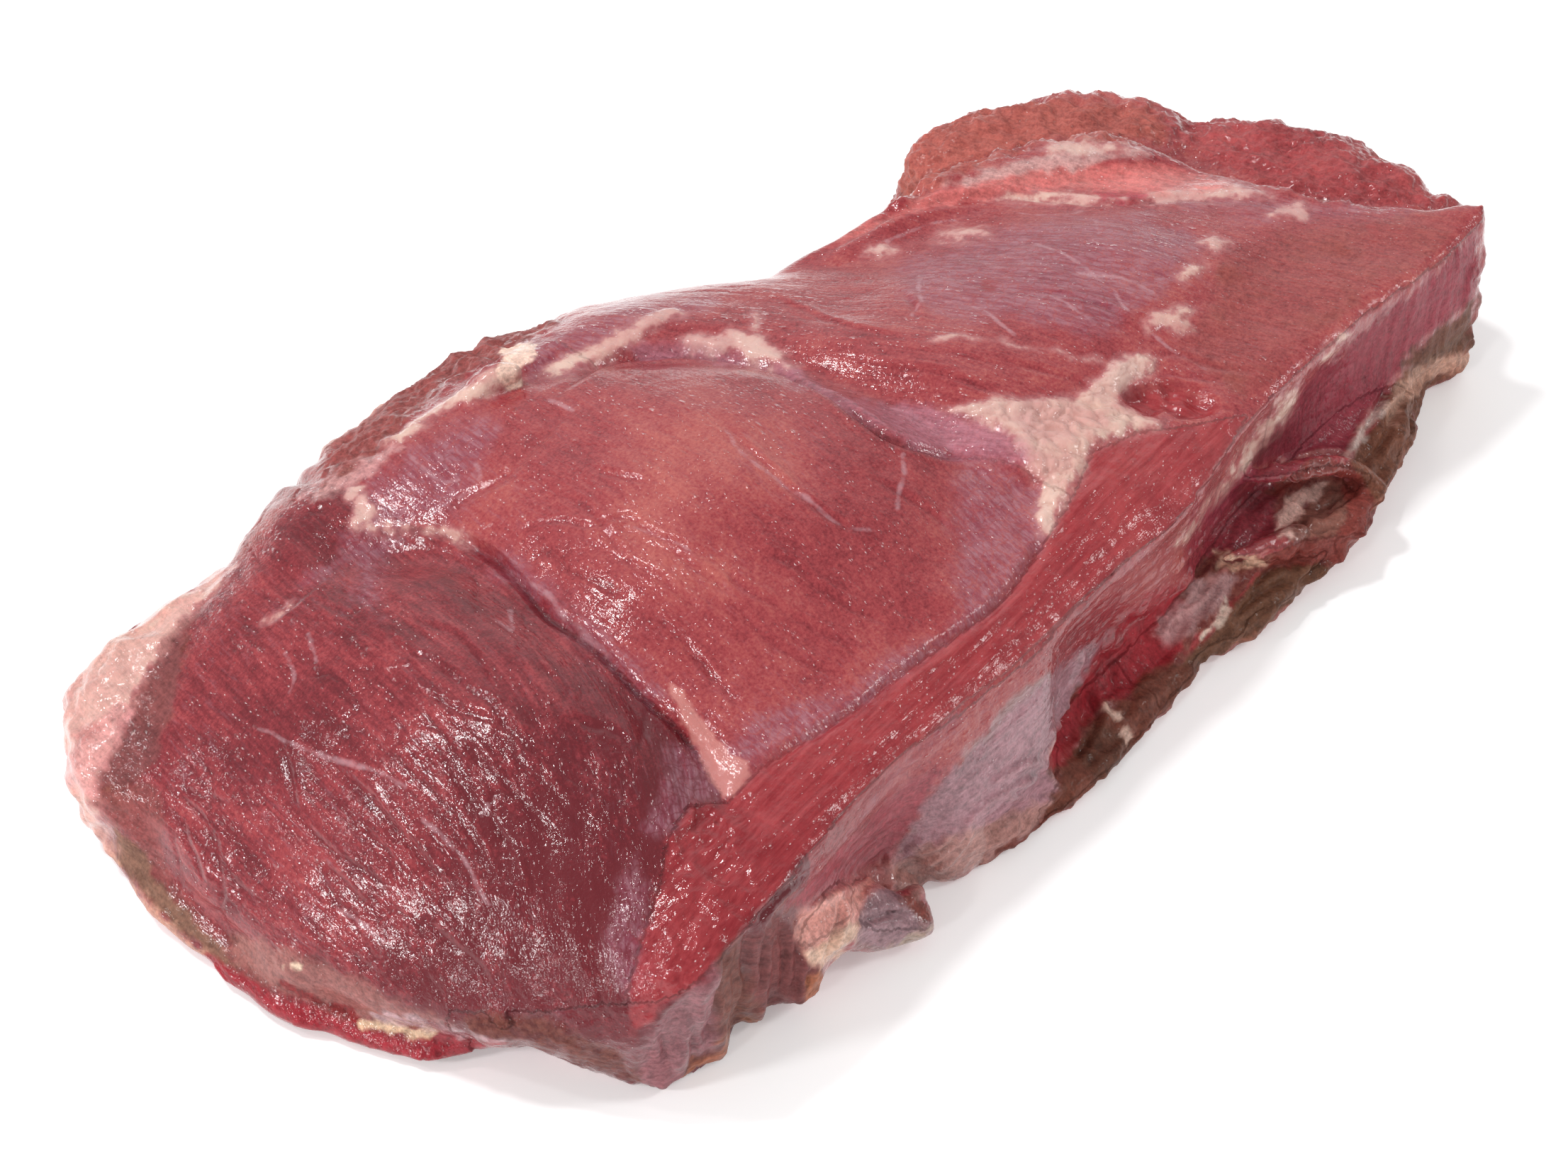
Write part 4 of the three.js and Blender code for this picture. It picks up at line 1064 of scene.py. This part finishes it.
fat = np.maximum(deepest(FATTY_PATCHES), strips(fat_lines))
fatty = np.nonzero(fat > -1)[0]
bent = at[fatty] + 4.2 * wander[fatty]
lump, gap = lumps_of(bent, 4.0, 23.0)
fine_lump, fine_gap = lumps_of(bent, 1.9, 29.0)
thick = smoothstep(fat[fatty], -1, 3)
knobbly = np.where(depth_in["fat bed"][fatty] > -2, 1.0, 0.35)
knobbly[depth_in["heel fat"][fatty] > -2] = 0.2
rise = 0.3 + thick * knobbly * (1.7 * lump**0.6 - 0.3 * gap) + 0.25 * knobbly * fine_lump
relief[fatty] += smoothstep(fat[fatty], -0.8, 1.0) * rise
# painted_crevice_shade: painted shade, how far the fat colour is darkened in the gaps between its lumps
painted_crevice_shade = np.zeros(len(at))
painted_crevice_shade[fatty] = knobbly * np.maximum(gap, 0.5 * fine_gap)
print("fat on", len(fatty), "vertices")

# %% [markdown]
# Then come the places that are rough in their own way: the torn tip of the cut, the folded flaps
# under the cut side and at the rump, the leathery back, the hanging folds of the skirt.

# %% Rough places
flat = at * np.array([0.35, 1.0, 1.0])
upright = np.stack([at[:, 0], at[:, 1], at[:, 2] / 9], axis=1)
on_cut = smoothstep(np.maximum(cut, np.where(on_wall, 2.0, -REACH)), -1, 1)
under_flap = smoothstep(-y, 58, 64) * smoothstep(x, -64, -58) * smoothstep(-z, -20, -15)
rump_flap = smoothstep(x, 84, 90) * smoothstep(-z, -44, -38)
rump_flap *= np.maximum(smoothstep(y, 18, 24), smoothstep(x, 148, 154))
leathery = smoothstep(deepest(("back brown", "lobe")), -2, 1) * np.where(depth_in["lobe"] > -2, 1.5, 1.0)
rough_places = (  # how much of it is there, and how far out the skin stands in mm
    (smoothstep(depth_in["lumpy tip"], -2, 2),
     0.5 + (1.2 * creased(at, 6, 31.0) + 0.7 * creased(at, 2.6, 35.0))),
    (on_cut, 0.22 * bumps(along_fibres(22, 2.6), 1.0, 73.0) + 0.14 * bumps(at, 2.2, 75.0)),
    (smoothstep(depth_in["wet pit"], -1, 2), -(2.6 + 0.9 * bumps(at, 4, 61.0))),
    (under_flap, 1.2 * bumps(flat, 6, 41.0) + 0.7 * bumps(flat, 2.6, 43.0) + 0.35 * bumps(at, 2.2, 45.0)),
    (rump_flap, 0.9 * bumps(at, 8, 51.0) + 0.5 * bumps(at, 3.4, 53.0) + 0.35 * creased(at, 2.4, 55.0)),
    (leathery, 0.7 * bumps(at, 8, 77.0) + 0.8 * creased(at, 5, 78.0) + 0.6 * creased(at, 2.5, 79.0)),
    (smoothstep(depth_in["grey skirt"], -2, 2),
     1.3 * bumps(upright, 6, 57.0) + 0.5 * bumps(upright, 2.6, 59.0)),
    (smoothstep(depth_in["heel fat"], -2, 2), 1.2 * bumps(at, 10, 63.0) + 0.6 * bumps(at, 4, 67.0)),
    (smoothstep(depth_in["knob root"], -1, 2), 2.2),
    (smoothstep(depth_in["hollow"], -2, 2), 0.9 * bumps(at, 5, 69.0) - 0.6),
)
for share, height in rough_places:
    relief += share * height
print(len(rough_places), "rough places")

# %% Cords, folds and threads of film, and the relief pressed in
cord = strips([(line, CORD_WIDTH) for line in cord_lines], 0.5)
relief += 0.9 * smoothstep(cord, -0.9, 0.6)
for line in fold_lines:
    shape, groove = press(line, 1.2, 0.9, fold=0.4)
    relief += shape
    painted_cleft_shade = np.maximum(painted_cleft_shade, 0.8 * groove)
web = strips([(line, THREAD_WIDTH) for line in web_lines], 0.7)
underside = (outward[:, 2] < -0.8) & (z < 3)
relief[underside] = np.clip(relief[underside], -1.5, 0)
moved = at + outward * (relief * MM)[:, None]
moved[:, 2] = np.maximum(moved[:, 2], 0)
move_to(flesh, moved)
print("relief from", round(relief.min(), 1), "to", round(relief.max(), 1), "mm")

# %% [markdown]
# The material needs to know what lies where. Each kind of tissue gets one value at every point:
# how deep it lies inside that tissue in mm, below zero outside. The hidden sides get a film that
# comes and goes, because a leg is wrapped in such film all round.

# %% What the material reads
film = np.maximum(deepest(FILMY_PATCHES), strips(film_lines))
film = np.where(on_wall, np.maximum(film, -3.0 + 2.0 * bumps(at, 14, 71.0)), film)
facing = smoothstep(outward @ np.array(towards_camera), 0.0, 0.16) * seen
film = np.maximum(film, np.where(facing < 0.5, -0.5 + 3.0 * bumps(at, 34, 91.0), -REACH))
pink = np.maximum(cord, depth_in["tendon"])
pink = np.maximum(pink, np.minimum(depth_in["pink band"] - 3, 0.2))
coarse_grain = np.where(knuckle, 1.0, np.where(rump, 0.65, 0.4))
coarse_grain = np.where((cut > 0) | on_wall, 0.5, coarse_grain)
low_flap = (z < 17) & (y < -62) & (x > -62)
dry = deepest(("back brown", "skirt edge"))
for name in ("low brown", "heel facet", "grey skirt"):
    dry = np.maximum(dry, np.minimum(depth_in[name] - 2, 1.2))
dry = np.maximum(dry, np.minimum(depth_in["rump brown"] - 2, -1.0))
dry = np.maximum(dry, np.where(low_flap, 4.0, -REACH))
dry = np.maximum(dry, np.where((x > 86) & (y > 20) & (z < 42), 0.8, -REACH))
dry = np.where(depth_in["pink band"] > 0, -REACH, dry)
# the salmon patch lightens the topside: partly its own colour, partly painted sheen
tone = 0.8 * smoothstep(depth_in["salmon and painted sheen"], -8, 8) - 0.35 * smoothstep(depth_in["bruise"], -8, 4)
tone += np.where(knuckle, -0.60 - 1.0 * smoothstep(-y, 0, 40), 0.25) + np.where(rump, 0.2, 0.0)
tone += 0.3 * smoothstep(depth_in["top film"], -8, 2) * ~knuckle
freshly_cut = deepest(("cut band", "pink band", "hollow", "red bit a", "red bit b", "wet flap", "wet pit"))
fields = {
    "fat": fat, "film": film, "dry": dry, "cut": freshly_cut, "green": depth_in["green band"],
    "grey": deepest(("silver sheet", "grey lobe")), "pink": pink, "web": web, "tone": tone,
    "painted_cleft_shade": painted_cleft_shade, "painted_crevice_shade": painted_crevice_shade, "coarse": coarse_grain,
}
print(len(fields), "fields")

# %% Coats of colour, one over the other
GAMMA = 2.2
hidden = 1 - facing
lean = smoothstep(-fat, -1, 1)
turned_down = smoothstep(-outward[:, 2], 0.5, 0.9)
leather = smoothstep(bumps(at, 38, 107.0) + 0.4 * bumps(at, 9, 109.0), -0.45, 0.25)
below_film = smoothstep(bumps(at, 30, 113.0), -0.5, 0.3)
along_back = x + 10 * bumps(at, 22, 115.0)
behind_heel = smoothstep(along_back, -140, -122) * smoothstep(-along_back, 40, 58) * smoothstep(y, 0, 16)
layers = [
    ("leather", (172, 112, 104), 0.65 * hidden * (1 - turned_down) * leather * lean),
    ("film below", (186, 126, 128), 0.6 * hidden * turned_down * below_film * lean),
    ("behind the heel", (146, 78, 76), 0.75 * hidden * behind_heel * lean),
]
ragged = 0.9 * bumps(at, 4.0, 101.0) + 0.6 * bumps(at, 1.9, 103.0)
for name, colour, strength, softness, corners in COATS:
    within = smoothstep(depth_within(corners) + ragged, -softness, softness)
    layers.append((name, colour, strength * facing * within))
coat = np.zeros((len(at), 3))
cover = np.zeros(len(at))
matt = np.zeros(len(at))
for name, colour, weight in layers:
    linear = (np.array(colour) / 255) ** GAMMA
    coat = coat * (1 - weight)[:, None] + linear * weight[:, None]
    cover = cover + weight - cover * weight
    matt = np.maximum(matt, MATT_COATS.get(name, 0) * weight)
coat /= np.maximum(cover, 1e-6)[:, None]
fields["matt"] = matt
print(len(layers), "layers of colour")


# %% Store it all on the skin
def store(name, kind, key, values):
    layer = flesh.data.attributes.new(name, kind, "POINT")
    layer.data.foreach_set(key, values.astype(np.float32).ravel())


store("coat", "FLOAT_COLOR", "color", np.column_stack([coat, cover]))
for name, values in fields.items():
    store(name, "FLOAT", "value", values)
store("grain", "FLOAT_VECTOR", "vector", grain)
print("attributes:", [a.name for a in flesh.data.attributes if a.domain == "POINT"])

# %% [markdown]
# One material covers the whole skin. It is built from the same layers as the meat: red muscle
# with a fine fibre, mauve film drawn over it in places, bright red where the knife went last,
# brown where the air has dried it and cream fat, with painted shade, dark red, down in the seams
# and creases. Over all lies a thin wet coat that breaks the light into glints along the fibres and
# is lost on dried places, and pale dots painted on its wet beads add painted highlights.


# %% Small helpers for node trees
def add_node(tree, kind, inputs=None, output=0, **settings):
    """Add one node, set or link its inputs, and return one of its outputs."""
    node = tree.nodes.new("ShaderNode" + kind)
    for name, value in settings.items():
        setattr(node, name, value)
    for key, value in (inputs or {}).items():
        if isinstance(value, bpy.types.NodeSocket):
            tree.links.new(value, node.inputs[key])
        else:
            node.inputs[key].default_value = value
    return node.outputs[output]


def attribute(tree, name, output="Fac"):
    return add_node(tree, "Attribute", output=output, attribute_name=name)


def noise_node(tree, vector, scale, detail=2.0, roughness=0.5):
    inputs = {"Vector": vector, "Scale": scale, "Detail": detail, "Roughness": roughness}
    return add_node(tree, "TexNoise", inputs)


def stretch(tree, vector, factors):
    return add_node(tree, "VectorMath", {0: vector, 1: factors}, operation="MULTIPLY")


def step(tree, value, low, high, to_low=0.0, to_high=1.0):
    inputs = {0: value, 1: low, 2: high, 3: to_low, 4: to_high}
    return add_node(tree, "MapRange", inputs, interpolation_type="SMOOTHSTEP")


def arithmetic(tree, operation, a, b):
    return add_node(tree, "Math", {0: a, 1: b}, operation=operation)


def blend(tree, factor, a, b):
    return add_node(tree, "Mix", {0: factor, 6: a, 7: b}, output=2, data_type="RGBA")


def total(tree, terms):
    """The sum of (value, weight) pairs."""
    result = None
    for value, weight in terms:
        term = arithmetic(tree, "MULTIPLY", value, weight)
        result = term if result is None else arithmetic(tree, "ADD", result, term)
    return result


PIGMENT = 0.84


def paint(red, green, blue):
    return (PIGMENT * red, PIGMENT * green, PIGMENT * blue, 1)


print("fat in this light:", [round(c, 2) for c in paint(0.87, 0.61, 0.50)])

# %% [markdown]
# The patterns are shared by colour and shine. Some lie still in the meat: broad blotches, a fine
# speck. Others are drawn out along the grain: threads, strands and the beads of wet that sit on
# the fibres.


# %% Patterns of the meat
def spots_along(tree, lay, factors):
    """Dots drawn out along the grain: how near each place is to one, and a chance value for each."""
    inputs = {"Vector": stretch(tree, lay, factors), "Scale": 1.0}
    near = add_node(tree, "TexVoronoi", inputs, output="Distance")
    chance = add_node(tree, "SeparateColor", {"Color": near.node.outputs["Color"]}, output="Red")
    return step(tree, near, 0.5, 0.0), chance


def patterns_of(tree):
    place = add_node(tree, "TexCoord", output="Object")
    lay = attribute(tree, "grain", "Vector")
    found = {
        "wide": noise_node(tree, place, 22.0, 2.0),
        "blotch": noise_node(tree, place, 70.0, 4.0, 0.6),
        "edge": noise_node(tree, place, 260.0, 3.0, 0.55),
        "fine": noise_node(tree, place, 650.0, 3.0, 0.6),
        "speck": noise_node(tree, place, 1500.0, 2.0, 0.6),
        "thread": noise_node(tree, stretch(tree, lay, (0.055, 0.95, 0.95)), 1.0, 3.0, 0.6),
        "strand": noise_node(tree, stretch(tree, lay, (0.035, 0.25, 0.25)), 1.0, 2.0),
        "streak": noise_node(tree, stretch(tree, lay, (0.16, 0.9, 0.9)), 1.0, 4.0, 0.65),
    }
    wetness = noise_node(tree, stretch(tree, lay, (0.07, 0.30, 0.30)), 1.0, 3.0)
    near, chance = spots_along(tree, lay, (0.34, 0.66, 0.66))
    drop = arithmetic(tree, "MULTIPLY", near, step(tree, chance, 0.62, 0.9))
    found["drop"] = arithmetic(tree, "MULTIPLY", drop, step(tree, wetness, 0.42, 0.56))
    near, chance = spots_along(tree, lay, (0.75, 1.30, 1.30))
    bead = arithmetic(tree, "MULTIPLY", near, step(tree, chance, 0.1, 1.0, 0.2, 1.0))
    found["bead"] = arithmetic(tree, "MULTIPLY", bead, step(tree, wetness, 0.36, 0.60, 0.35, 1.0))
    jitter = add_node(tree, "TexNoise", {"Vector": place, "Scale": 300.0}, output="Color")
    shaken = add_node(tree, "VectorMath", {0: place, 1: stretch(tree, jitter, (0.004, 0.004, 0.004))},
                      operation="ADD")
    found["crackle"] = add_node(tree, "TexVoronoi", {"Vector": shaken, "Scale": 330.0}, output="Distance",
                                feature="DISTANCE_TO_EDGE")
    return found


EDGES = {  # field, the pattern that makes its edge ragged, that pattern's range, and how far in mm
    "fat": ("edge", 0.2, 0.8, 1.4), "film": ("blotch", 0.25, 0.75, 3.0), "dry": ("blotch", 0.25, 0.75, 3.0),
    "cut": ("edge", 0.2, 0.8, 1.2), "green": ("fine", 0.2, 0.8, 1.5), "grey": ("blotch", 0.25, 0.75, 2.0),
    "pink": ("edge", 0.2, 0.8, 0.8), "web": ("edge", 0.2, 0.8, 0.35),
}


def ragged_fields(tree, pattern):
    """Each field's depth, made ragged by a pattern."""
    depth = {}
    for name, (kind, low, high, reach) in EDGES.items():
        wobble = step(tree, pattern[kind], low, high, -reach, reach)
        depth[name] = arithmetic(tree, "ADD", attribute(tree, name), wobble)
    return depth


print(len(EDGES), "ragged edges")

# %% [markdown]
# The colour is laid on in the order in which the tissues lie: muscle, film and dried brown over
# it, the knife's red, silverskin, cords and fat, then the coats, the painted shade of the clefts
# and the painted highlights on the wet beads.


# %% Colour of the meat
def muscle_colour(tree, pattern, painted_cleft_shade):
    lines = total(tree, ((pattern["thread"], 0.55), (pattern["strand"], 0.45)))
    coarse = attribute(tree, "coarse")
    lines = arithmetic(tree, "MULTIPLY", arithmetic(tree, "SUBTRACT", lines, 0.50), coarse)
    # the cleft term is painted shade: it darkens the muscle down in the seams and creases
    shade = total(tree, ((pattern["blotch"], 0.50), (pattern["wide"], 0.40), (pattern["speck"], 0.60),
                         (pattern["fine"], 0.45), (attribute(tree, "tone"), 0.24), (painted_cleft_shade, -0.22),
                         (lines, 1.1)))
    muscle = add_node(tree, "ValToRGB", {0: arithmetic(tree, "SUBTRACT", shade, 0.50)})
    ramp = muscle.node.color_ramp
    ramp.elements[0].position, ramp.elements[0].color = 0.12, paint(0.15, 0.010, 0.017)
    ramp.elements[1].position, ramp.elements[1].color = 0.88, paint(0.54, 0.135, 0.115)
    for position, colour in ((0.34, paint(0.250, 0.024, 0.033)), (0.55, paint(0.385, 0.052, 0.060))):
        stop = ramp.elements.new(position)
        stop.color = colour
    return muscle


def film_over(tree, pattern, depth, colour):
    streak = pattern["streak"]
    mauve = blend(tree, step(tree, streak, 0.35, 0.7), paint(0.26, 0.050, 0.085), paint(0.45, 0.22, 0.27))
    torn = step(tree, pattern["crackle"], 0.0, 0.12, 0.45, 1.0)
    cover = arithmetic(tree, "MULTIPLY", step(tree, depth["film"], -2.5, 3.5, 0.0, 0.62), torn)
    colour = blend(tree, cover, colour, mauve)
    veil = step(tree, streak, 0.5, 0.75, 0.0, 0.22)
    veil = arithmetic(tree, "MULTIPLY", step(tree, pattern["wide"], 0.45, 0.65), veil)
    colour = blend(tree, veil, colour, paint(0.42, 0.22, 0.28))
    return blend(tree, step(tree, depth["web"], -0.5, 0.4, 0.0, 0.45), colour, paint(0.66, 0.40, 0.44))


def tissues_over(tree, pattern, depth, colour):
    streak = pattern["streak"]
    brown = blend(tree, step(tree, pattern["fine"], 0.3, 0.7), paint(0.095, 0.030, 0.022),
                  paint(0.23, 0.090, 0.062))
    colour = blend(tree, step(tree, depth["dry"], -1.5, 3.0, 0.0, 0.72), colour, brown)
    red = total(tree, ((pattern["thread"], 0.35), (streak, 0.35), (pattern["blotch"], 0.30)))
    red = blend(tree, step(tree, red, 0.36, 0.64), paint(0.27, 0.011, 0.018), paint(0.46, 0.052, 0.060))
    colour = blend(tree, step(tree, depth["cut"], -1.0, 1.5, 0.0, 0.8), colour, red)
    lilac = blend(tree, step(tree, streak, 0.35, 0.7), paint(0.22, 0.11, 0.10), paint(0.50, 0.33, 0.34))
    colour = blend(tree, step(tree, depth["grey"], -1.0, 1.5, 0.0, 0.85), colour, lilac)
    colour = blend(tree, step(tree, depth["pink"], -0.6, 0.8, 0.0, 0.75), colour, paint(0.68, 0.27, 0.24))
    return blend(tree, step(tree, depth["green"], -1.0, 2.5, 0.0, 0.2), colour, paint(0.18, 0.115, 0.075))


def fat_over(tree, pattern, depth, colour):
    fat = depth["fat"]
    cream = blend(tree, step(tree, pattern["blotch"], 0.38, 0.62), paint(0.74, 0.40, 0.35),
                  paint(0.87, 0.61, 0.50))
    cream = blend(tree, step(tree, pattern["wide"], 0.35, 0.6, 0.4, 0.0), cream, paint(0.66, 0.36, 0.36))
    # painted shade: the fat turns darker and browner in the gaps between its lumps
    cream = blend(tree, step(tree, attribute(tree, "painted_crevice_shade"), 0.35, 1.0, 0.0, 0.35), cream,
                  paint(0.50, 0.20, 0.16))
    cream = blend(tree, step(tree, fat, 0.0, 2.0, 0.6, 0.0), cream, paint(0.60, 0.23, 0.22))
    colour = blend(tree, step(tree, fat, -2.0, 0.0, 0.0, 0.35), colour, paint(0.60, 0.25, 0.25))
    return blend(tree, step(tree, fat, -0.5, 1.0, 0.0, 0.93), colour, cream)


def coats_over(tree, pattern, colour):
    mottle = total(tree, ((pattern["fine"], 0.5), (pattern["streak"], 0.6), (pattern["blotch"], 0.4),
                          (pattern["speck"], 0.4)))
    mottle = step(tree, mottle, 0.55, 1.35, 0.38, 1.47)
    coat = stretch(tree, attribute(tree, "coat", "Color"), mottle)
    return blend(tree, attribute(tree, "coat", "Alpha"), colour, coat)


# %% Raw meat
def raw_meat(name):
    material = bpy.data.materials.new(name)
    material.use_nodes = True
    tree = material.node_tree
    shader = tree.nodes["Principled BSDF"]
    pattern = patterns_of(tree)
    depth = ragged_fields(tree, pattern)
    painted_cleft_shade = attribute(tree, "painted_cleft_shade")

    colour = muscle_colour(tree, pattern, painted_cleft_shade)
    for layer_over in (film_over, tissues_over, fat_over):
        colour = layer_over(tree, pattern, depth, colour)
    colour = coats_over(tree, pattern, colour)
    # painted shade: the deepest seams and creases are blended towards near-black red
    colour = blend(tree, step(tree, painted_cleft_shade, 0.55, 1.0, 0.0, 0.5), colour, paint(0.10, 0.006, 0.010))
    dull = arithmetic(tree, "MAXIMUM", step(tree, depth["dry"], -1.0, 3.0, 0.0, 0.8), attribute(tree, "matt"))
    # painted highlight: pale dots painted into the base colour on the larger wet beads and drops, fading on
    # dull places
    painted_glint = arithmetic(tree, "MAXIMUM", step(tree, pattern["bead"], 0.50, 0.78),
                       step(tree, pattern["drop"], 0.74, 0.95))
    painted_glint = arithmetic(tree, "MULTIPLY", painted_glint, step(tree, dull, 0.0, 0.5, 0.55, 0.0))
    colour = blend(tree, painted_glint, colour, paint(0.98, 0.74, 0.74))
    tree.links.new(colour, shader.inputs["Base Color"])

    skin = {"thread": 0.10, "strand": 0.25, "speck": 0.10, "fine": 0.18, "bead": 0.06, "drop": 0.14}
    wet = {"thread": 0.12, "strand": 0.25, "fine": 0.12, "bead": 0.15, "drop": 0.36}
    for heights, strength, socket in ((skin, 0.8, "Normal"), (wet, 1.0, "Coat Normal")):
        height = total(tree, [(pattern[kind], weight) for kind, weight in heights.items()])
        bump = {"Strength": strength, "Distance": 0.0012, "Height": height}
        tree.links.new(add_node(tree, "Bump", bump, output="Normal"), shader.inputs[socket])
    tree.links.new(step(tree, dull, 0.0, 1.0, 0.36, 0.60), shader.inputs["Roughness"])
    tree.links.new(step(tree, dull, 0.0, 1.0, 1.0, 0.1), shader.inputs["Coat Weight"])
    shader.inputs["Specular IOR Level"].default_value = 0.08
    shader.inputs["Coat Roughness"].default_value = 0.05
    shader.inputs["Coat IOR"].default_value = 1.42
    shader.inputs["Subsurface Weight"].default_value = 0.12
    shader.inputs["Subsurface Radius"].default_value = (1.0, 0.35, 0.25)
    shader.inputs["Subsurface Scale"].default_value = 0.002
    return material


flesh.data.materials.append(raw_meat("raw meat"))
select_only(flesh)
bpy.ops.object.shade_smooth()
print("the material has", len(flesh.data.materials[0].node_tree.nodes), "nodes")

# %% [markdown]
# A butcher would name the parts of this leg, so the skin is taken apart into them along the
# seams. Each later region takes its faces from the ones before it. Nothing is cut or moved, so
# the parts still meet without a gap.

# %% Take the skin apart along the seams
REGIONS = {  # name: (where, slot)
    "outer_side": (np.ones(len(at), bool), "raw_meat"),
    "topside": (seen, "raw_meat"),
    "rump": (seen & rump, "raw_meat"),
    "knuckle": (seen & knuckle, "raw_meat"),
    "cut_side": (seen & ((freshly_cut > 0) | on_wall), "raw_meat"),
    "dried_edges": (seen & (low_flap | (rump_flap > 0.5)), "dried_edge"),
    "fat": (seen & (fat > 0.2), "fat"),
}
region = np.zeros(len(at), int)
for index, (chosen, slot) in enumerate(REGIONS.values()):
    region[chosen] = index
corners, starts = corners_of_faces(flesh.data)
region_of_face = np.maximum.reduceat(region[corners], starts)
flesh.data.attributes.new("region", "INT", "FACE").data.foreach_set("value", region_of_face)

for index, (name, (chosen, slot)) in enumerate(REGIONS.items()):
    piece = flesh
    if index < len(REGIONS) - 1:
        here = np.empty(len(flesh.data.polygons), int)
        flesh.data.attributes["region"].data.foreach_get("value", here)
        select_faces(flesh, here == index)
        bpy.ops.mesh.separate(type="SELECTED")
        bpy.ops.object.mode_set(mode="OBJECT")
        piece = next(o for o in bpy.context.selected_objects if o is not flesh)
    piece.name = name
    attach(piece, "root")
    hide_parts("roast")
    print(name, "triangles:", triangles(piece))

# %% [markdown]
# The counter is a plain pale sheet, lit from below like a light table so that no shadow is dark.
# The light is a studio's: a bright surround, two windows on the side of the knuckle that draw
# the wet shine, a top lamp, and weak ones in front and behind.

# %% Floor and world
FLOOR_SIZE = 8.0
FLOOR_DROP = 0.05 * MM
FLOOR_COLOUR = (0.95, 0.95, 0.95, 1)
FLOOR_GLOW = 0.25
WORLD_STRENGTH = 0.50

bpy.ops.mesh.primitive_plane_add(size=FLOOR_SIZE, location=(0, 0, -FLOOR_DROP))
floor = bpy.context.object
floor.name = "floor"
floor_material = bpy.data.materials.new("pale floor")
floor_material.use_nodes = True
floor_shader = floor_material.node_tree.nodes["Principled BSDF"]
floor_shader.inputs["Base Color"].default_value = FLOOR_COLOUR
floor_shader.inputs["Roughness"].default_value = 0.7
floor_shader.inputs["Emission Color"].default_value = FLOOR_COLOUR
floor_shader.inputs["Emission Strength"].default_value = FLOOR_GLOW
floor.data.materials.append(floor_material)

world = bpy.data.worlds.new("studio")
bpy.context.scene.world = world
world.use_nodes = True
world.node_tree.nodes["Background"].inputs["Color"].default_value = (1.0, 1.0, 1.0, 1)
world.node_tree.nodes["Background"].inputs["Strength"].default_value = WORLD_STRENGTH
print("the floor reaches", FLOOR_SIZE / 2, "m each way")

# %% Lamps
LAMPS = {  # name: (the direction it shines from, strength, how many degrees wide it looks)
    "window": ((-0.78, 0.40, 0.50), 1.05, 9),
    "side window": ((-0.90, -0.05, 0.42), 0.5, 7),
    "top": ((-0.12, 0.42, 0.90), 1.1, 8),
    "spot": ((-0.40, 0.62, 0.67), 0.25, 4),
    "front": ((0.45, -0.60, 0.66), 0.6, 12),
    "back": ((0.60, 0.42, 0.60), 0.2, 50),
}
for name, (source, strength, width) in LAMPS.items():
    direction = Vector(source).normalized()
    turned = direction.to_track_quat("Z", "Y").to_euler()
    bpy.ops.object.light_add(type="SUN", location=direction, rotation=turned)
    bpy.context.object.name = name
    bpy.context.object.data.energy = strength
    bpy.context.object.data.angle = math.radians(width)
bpy.context.scene.view_settings.view_transform = "Standard"
print("lamps:", list(LAMPS))
